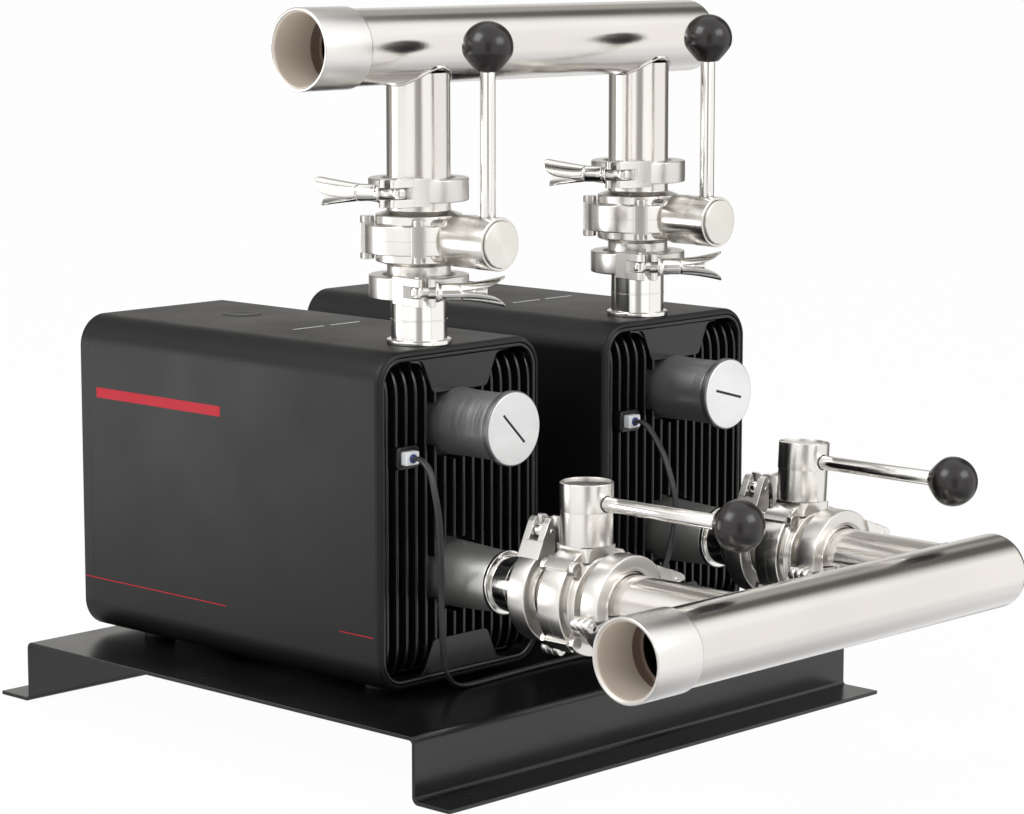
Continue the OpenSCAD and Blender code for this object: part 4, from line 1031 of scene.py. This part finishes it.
def make_clamps():
    mirror = Matrix.Diagonal((1, -1, 1, 1))
    third = BAND_HALF / 3
    round_eye = fillet([(0, -4.3), (4.6, -4.3), (KNUCKLE_R, -2), (KNUCKLE_R, 2), (4.6, 4.3), (0, 4.3)],
                       [0, 1, 2, 2, 1, 0])
    bolt_end = LUG_MID + LUG_BACK + NUT_BOSS + 5
    for valve in valves:
        bands = bmesh.new()
        lugs = bmesh.new()
        pins = bmesh.new()
        for clamp in CLAMPS[valve.port]:
            place = valve.clamp_frame(clamp)
            for half in (place, place @ mirror):
                lathe(bands, band_outline(), half, BAND_STEPS, BAND_START, BAND_SWEEP)
            make_lug(lugs, place, [(-third, third)], True)
            make_lug(lugs, place @ mirror, [(-BAND_HALF, -third - 0.2), (third + 0.2, BAND_HALF)], False)
            eye = place @ at(BOLT_REACH, LUG_MID, 0)
            lathe(pins, round_eye, eye, 32)
            lathe(pins, fillet([(0, -bolt_end), (3.2, -bolt_end), (4, 1 - bolt_end), (4, 0), (0, 0)], 0.3, 2),
                  eye @ at(turn=(-90, 0, 0)), 32)
            for x, y, end in ((BOLT_REACH, LUG_MID, LUG_HALF + 1), (-HINGE_X, 0, BAND_HALF + 1)):
                lathe(pins, fillet([(0, -end), (PIN_R, -end), (PIN_R, end), (0, end)], [0, 0.8, 0.8, 0], 3),
                      place @ at(x, y, 0), 24)
        piece(valve.name + "_clamp_bands", bands, band_steel[valve.flow], slot="satin_steel")
        piece(valve.name + "_clamp_lugs", lugs, lug_steel, slot="satin_steel", edge=0.5)
        piece(valve.name + "_clamp_pins", pins, machined, slot="machined_steel")


PETAL_FOOT = 19.0
PETAL_STEPS = 26
PETAL_ACROSS = 14


def petal_ring(t, skin):
    """Points across one petal at a share of its length, on its outer or inner skin."""
    spread = 1 - math.exp(-4.5 * t)
    tip = math.sqrt(max(0.0, 1 - max(0.0, (t - 0.55) / 0.45) ** 2.2))
    cup = 7.0 + 3.6 * spread
    half = math.radians(86 - 22 * spread) * max(tip, 0.1)
    out = 6.9 + 5.6 * t ** 1.3
    thick = 2.4 - 0.8 * t
    points = []
    for k in range(PETAL_ACROSS + 1):
        a = half * (2 * k / PETAL_ACROSS - 1)
        r = cup - skin * thick * (0.45 + 0.55 * math.cos(a * 1.2))
        points.append((out - cup + r * math.cos(a), r * math.sin(a)))
    return points


def make_wing_nut(valve, clamp):
    """A round boss that opens like a tulip into two cupped petals."""
    node = f"{valve.name}_{clamp[0]}_wing_nut"
    place = (valve.clamp_frame(clamp) @ at(BOLT_REACH, -LUG_BACK - 0.1, 0) @ at(turn=(90, 0, 0))
             @ at(turn=(0, 0, clamp[4])))
    bm = bmesh.new()
    outline = [(4.05, 0), (8.3, 0), (8.3, 2.2), (6.3, 4.6), (6.6, 8), (6.9, PETAL_FOOT),
               (6.4, PETAL_FOOT + 0.5), (6.0, PETAL_FOOT + 2), (6.0, NUT_BOSS - 5), (4.05, NUT_BOSS - 5)]
    lathe(bm, fillet(outline, [0.2, 0.8, 0.8, 2, 3, 0.3, 0.3, 0.5, 1, 0.3]), place, 48)
    for side in (1, -1):
        rings = []
        for i in range(PETAL_STEPS + 1):
            t = i / PETAL_STEPS
            z = PETAL_FOOT + (NUT_LEN - PETAL_FOOT) * (t ** 0.85 if t < 1 else 1)
            skins = petal_ring(t, 0) + petal_ring(t, 1)[::-1]
            rings.append([place @ Vector((side * x, y, z)) for x, y in skins])
        loft(bm, rings)
    nut = piece(node + "_petals", bm, polished["z"], f"{valve.name}_{clamp[0]}_nut", "polished_steel", [node],
                sharp=50)
    smooth = nut.modifiers.new("smooth", "SUBSURF")
    smooth.levels = 1
    smooth.render_levels = 1


for valve in valves:
    make_body(valve)
    make_handle(valve)
    for clamp in CLAMPS[valve.port]:
        make_wing_nut(valve, clamp)
    dress(machined, valve.name + "_valve_disc")
make_valve_bolts()
make_clamps()
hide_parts("clamp_rings")
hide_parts("clamp_bolts")


# Manifolds
PIPE_R = 30.15
PIPE_BORE = PIPE_R - 2.8
END_R = 9.0
SOCKET_R = 32.0
SOCKET_LEN = 50.5
THREAD_R = 28.35
THREAD_END = 39.0
WELD_R = 1.5
WELD_STEPS = 96
WELD_AROUND = 10


def weld(bm, place):
    """A bead where a branch meets the manifold: the branch runs along the place's Z."""
    path = []
    for a in turns(WELD_STEPS):
        y = TUBE_R * math.sin(a)
        path.append(Vector((TUBE_R * math.cos(a), y, math.sqrt(PIPE_R ** 2 - y ** 2))))
    rings = []
    for k, point in enumerate(path):
        along = (path[(k + 1) % WELD_STEPS] - path[k - 1]).normalized()
        out = Vector((point.x, point.y, 0)).normalized()
        side = (out - out.dot(along) * along).normalized()
        up = along.cross(side)
        swell = WELD_R * (1 + 0.08 * math.sin(k * 2.1))
        rings.append([place @ (point + side * swell * math.cos(b) + up * swell * math.sin(b))
                      for b in turns(WELD_AROUND)])
    made = loft(bm, rings, caps=False)
    for i in range(WELD_AROUND):
        j = (i + 1) % WELD_AROUND
        bm.faces.new((made[-1][i], made[-1][j], made[0][j], made[0][i]))


def make_manifold(valve, turn):
    """A closed pipe with two branches, from the valve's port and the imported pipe's box."""
    node = valve.port + "_manifold"
    low, high = mm_box(node)
    mouth = mouths[valve.port]
    pipe = at(0, mouth.y, mouth.z) @ ALONG_X
    bm = bmesh.new()
    outline = [(PIPE_BORE, low.x), (PIPE_R, low.x), (PIPE_R, high.x), (0, high.x), (0, high.x - 5),
               (PIPE_BORE, high.x - 5)]
    lathe(bm, fillet(outline, [0, 0, END_R, 0, 0, 4], 8), pipe, 144)
    reach = (mouth - valve.centre - Vector((mouth.x - valve.centre.x, 0, 0))).length - VALVE_HALF
    for other in valves:
        if other.port == valve.port:
            place = at(other.centre.x, mouth.y, mouth.z, turn)
            lathe(bm, ferrule(TUBE_R, BORE_R, reach - GASKET, PIPE_R * 0.7), place, 96)
            weld(bm, place)
    piece(valve.port + "_pipe", bm, manifold_steel, slot="polished_steel", stands_for=[node])


def make_socket(port):
    """Socket with a turned mouth, and its bore with the step where the pipe begins. The bore past the thread
    is painted dark brown as shade.
    """
    place = at(*mouths[port]) @ ALONG_X
    wall = SOCKET_R - 2.4
    more = {"slot": "socket_steel", "count": 144}
    socket = turned(port + "_socket", place,
                    [(wall, 0.6), (SOCKET_R - 1.9, 0), (SOCKET_R - 0.5, 0), (SOCKET_R, 0.6),
                     (SOCKET_R, SOCKET_LEN - 2), (PIPE_R + 0.1, SOCKET_LEN), (wall, SOCKET_LEN)],
                    [0, 0.3, 0.4, 0.4, 2, 0.4, 0], socket_steel, **more)
    turned(port + "_socket_bore", place,
           [(wall, 0.6), (THREAD_R + 0.3, 1.6), (THREAD_R, 3), (THREAD_R, THREAD_END), (wall, THREAD_END)],
           [0, 0.6, 0.6, 0, 0], socket_bore, **more)
    # The bore's deep end, from the thread's end to the pipe, is painted dark brown: painted shade.
    turned(port + "_socket_neck", place,
           [(THREAD_R + 0.3, THREAD_END), (THREAD_R + 0.3, SOCKET_LEN - 0.6),
            (PIPE_BORE + 0.05, SOCKET_LEN - 0.6), (PIPE_BORE + 0.05, SOCKET_LEN + 0.4),
            (wall, SOCKET_LEN + 0.4), (wall, THREAD_END)], None, bore_painted_shade, **more)
    ring = SOCKET_LEN - 0.8
    turned(port + "_pipe_lip", place,
           [(PIPE_BORE, ring), (THREAD_R + 0.2, ring), (THREAD_R + 0.2, ring + 0.2), (PIPE_BORE, ring + 0.2)],
           None, socket_steel, **more)
    return socket


# The sockets' mouths, from the pipes' and sockets' boxes
sockets_low, sockets_high = mm_box("pipe_sockets")
mouths = {
    "suction": Vector((mm_box("suction_manifold")[0].x - SOCKET_LEN, sockets_low.y + SOCKET_R,
                       valves[0].centre.z)),
    "discharge": Vector((mm_box("discharge_manifold")[0].x - SOCKET_LEN, valves[1].centre.y,
                         sockets_high.z - SOCKET_R)),
}
make_manifold(valves[0], (-90, 0, 0))
make_manifold(valves[1], (180, 0, 0))
sockets = [make_socket(port) for port in ("suction", "discharge")]
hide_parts("pipe_sockets")


# Floor, world and lamps
FLOOR_WHITE = 0.97
FLOOR_REACH = 30.0
FLOOR_Z = -0.0005


def make_floor():
    """White to the camera with a faint shadow; mirrors see the studio's bands through it."""
    mesh = bpy.data.meshes.new("floor")
    corners = [(x * FLOOR_REACH, y * FLOOR_REACH, FLOOR_Z) for x, y in ((-1, -1), (1, -1), (1, 1), (-1, 1))]
    mesh.from_pydata(corners, [], [(0, 1, 2, 3)])
    floor = bpy.data.objects.new("floor", mesh)
    bpy.context.scene.collection.objects.link(floor)
    look = Look("floor_white", (0.9, 0.9, 0.9), 0.6)
    white = look.node("ShaderNodeEmission", {"Color": (1, 1, 1, 1), "Strength": 1.0})
    clear = look.node("ShaderNodeBsdfTransparent")
    rays = look.node("ShaderNodeLightPath")
    share = look.node("ShaderNodeMath", {1: FLOOR_WHITE}, operation="MULTIPLY")
    look.link(rays.outputs["Is Camera Ray"], share.inputs[0])
    seen = look.node("ShaderNodeMixShader")
    look.link(share.outputs[0], seen.inputs["Fac"])
    look.link(look.shader.outputs["BSDF"], seen.inputs[1])
    look.link(white.outputs["Emission"], seen.inputs[2])
    mix = look.node("ShaderNodeMixShader")
    look.link(rays.outputs["Is Glossy Ray"], mix.inputs["Fac"])
    look.link(seen.outputs["Shader"], mix.inputs[1])
    look.link(clear.outputs["BSDF"], mix.inputs[2])
    output = look.tree.nodes["Material Output"]
    look.link(mix.outputs["Shader"], output.inputs["Surface"])
    mesh.materials.append(look.material)


def make_world():
    """White to the camera; soft and banded to reflections; even to matt surfaces."""
    world = bpy.data.worlds.new("studio")
    bpy.context.scene.world = world
    world.use_nodes = True
    world.node_tree.nodes.clear()
    studio = Nodes(world.node_tree)
    node, link = studio.node, studio.link
    place = node("ShaderNodeTexCoord")
    parts = node("ShaderNodeSeparateXYZ")
    link(place.outputs["Generated"], parts.inputs[0])
    bearing = node("ShaderNodeMath", operation="ARCTAN2")
    link(parts.outputs["Y"], bearing.inputs[0])
    link(parts.outputs["X"], bearing.inputs[1])
    turn = node("ShaderNodeMapRange", {"From Min": -math.pi, "From Max": math.pi})
    link(bearing.outputs[0], turn.inputs["Value"])

    def ramp(stops):
        """Levels by bearing."""
        made = node("ShaderNodeValToRGB")
        link(turn.outputs["Result"], made.inputs["Fac"])
        fill_ramp(made.color_ramp, stops)
        return made.outputs["Color"]

    def mix(share, first, second):
        """Two colours, each a value or a socket, mixed by a share."""
        made = node("ShaderNodeMix", data_type="RGBA")
        link(share, made.inputs[0])
        for socket, colour in ((made.inputs[6], first), (made.inputs[7], second)):
            if isinstance(colour, tuple):
                socket.default_value = colour
            else:
                link(colour, socket)
        return made.outputs[2]

    def step(below, above, start, end):
        """Goes from one colour to another over a span of heights."""
        fade = node("ShaderNodeMapRange", {"From Min": start, "From Max": end})
        link(parts.outputs["Z"], fade.inputs["Value"])
        return mix(fade.outputs["Result"], below, above)

    walls = step(ramp(BEARING_STOPS), ramp(UPPER_STOPS), *WALL_FADE)
    room = step(walls, WHITE, *TOP_FADE)
    ground = step((GROUND_LOW, GROUND_LOW, GROUND_LOW, 1), (GROUND, GROUND, GROUND * 1.02, 1),
                  *GROUND_FADE)
    room = step(ground, room, *HORIZON_FADE)
    strong = node("ShaderNodeVectorMath", {"Scale": BAND_GAIN}, operation="SCALE")
    link(room, strong.inputs[0])
    rays = node("ShaderNodeLightPath")
    unseen = mix(rays.outputs["Is Glossy Ray"], (MATT, MATT, MATT, 1), strong.outputs["Vector"])
    seen = mix(rays.outputs["Is Camera Ray"], unseen, WHITE)
    background = node("ShaderNodeBackground")
    link(seen, background.inputs["Color"])
    output = node("ShaderNodeOutputWorld")
    link(background.outputs["Background"], output.inputs["Surface"])


def fill_ramp(ramp, stops):
    while len(ramp.elements) > 1:
        ramp.elements.remove(ramp.elements[-1])
    for i, (place, level) in enumerate(stops):
        stop = ramp.elements[0] if i == 0 else ramp.elements.new(place)
        stop.position = place
        stop.color = (level, level * (0.95 + 0.05 * level), level * (0.88 + 0.11 * level), 1)


def bearing_share(degrees):
    return (degrees + 180) / 360


BEARING_STOPS = [(bearing_share(a), level) for a, level in (
    (-180, 1.0), (-165, 1.0), (-150, 1.0), (-144, 0.4), (-124, 0.3), (-120, 1.0), (-86, 1.0),
    (-84, 0.35), (-82, 0.88), (-16, 0.88), (-12, 0.14), (30, 0.14), (36, 0.62), (58, 0.62),
    (63, 0.22), (92, 0.1), (98, 0.35), (125, 0.4), (138, 0.45), (152, 0.95))]
UPPER_STOPS = [(bearing_share(a), level) for a, level in (
    (-180, 1.0), (-20, 0.95), (-8, 0.4), (-2, 0.1), (13, 0.1), (21, 0.36), (50, 0.36), (56, 0.2), (95, 0.25),
    (125, 0.9))]
GROUND = 0.74
GROUND_LOW = 0.34
MATT = 0.62
# Heights, as the rise of a direction, between which one level passes into the next
GROUND_FADE = (-0.74, -0.5)
HORIZON_FADE = (-0.45, -0.28)
WALL_FADE = (0.36, 0.46)
TOP_FADE = (0.72, 0.85)
WHITE = (1, 1, 1, 1)
BAND_GAIN = 1.3


def lamp(name, place, target, size, power):
    data = bpy.data.lights.new(name, "AREA")
    data.shape = "RECTANGLE"
    data.size, data.size_y = size
    data.energy = power
    obj = bpy.data.objects.new(name, data)
    obj.location = place
    obj.rotation_euler = (Vector(target) - Vector(place)).to_track_quat("-Z", "Y").to_euler()
    obj.visible_camera = False
    bpy.context.scene.collection.objects.link(obj)


make_floor()
make_world()
lamp("key", (-2.2, 0.4, 2.4), (0, 0, 0.25), (1.6, 1.6), 40)
lamp("fill", (0.6, -2.6, 1.8), (0, 0, 0.25), (1.8, 1.2), 26)
lamp("side", (-0.98, 0.92, 0.24), (-0.25, 0.12, 0.28), (0.55, 0.55), 3.2)

bpy.context.scene.view_settings.view_transform = "Standard"
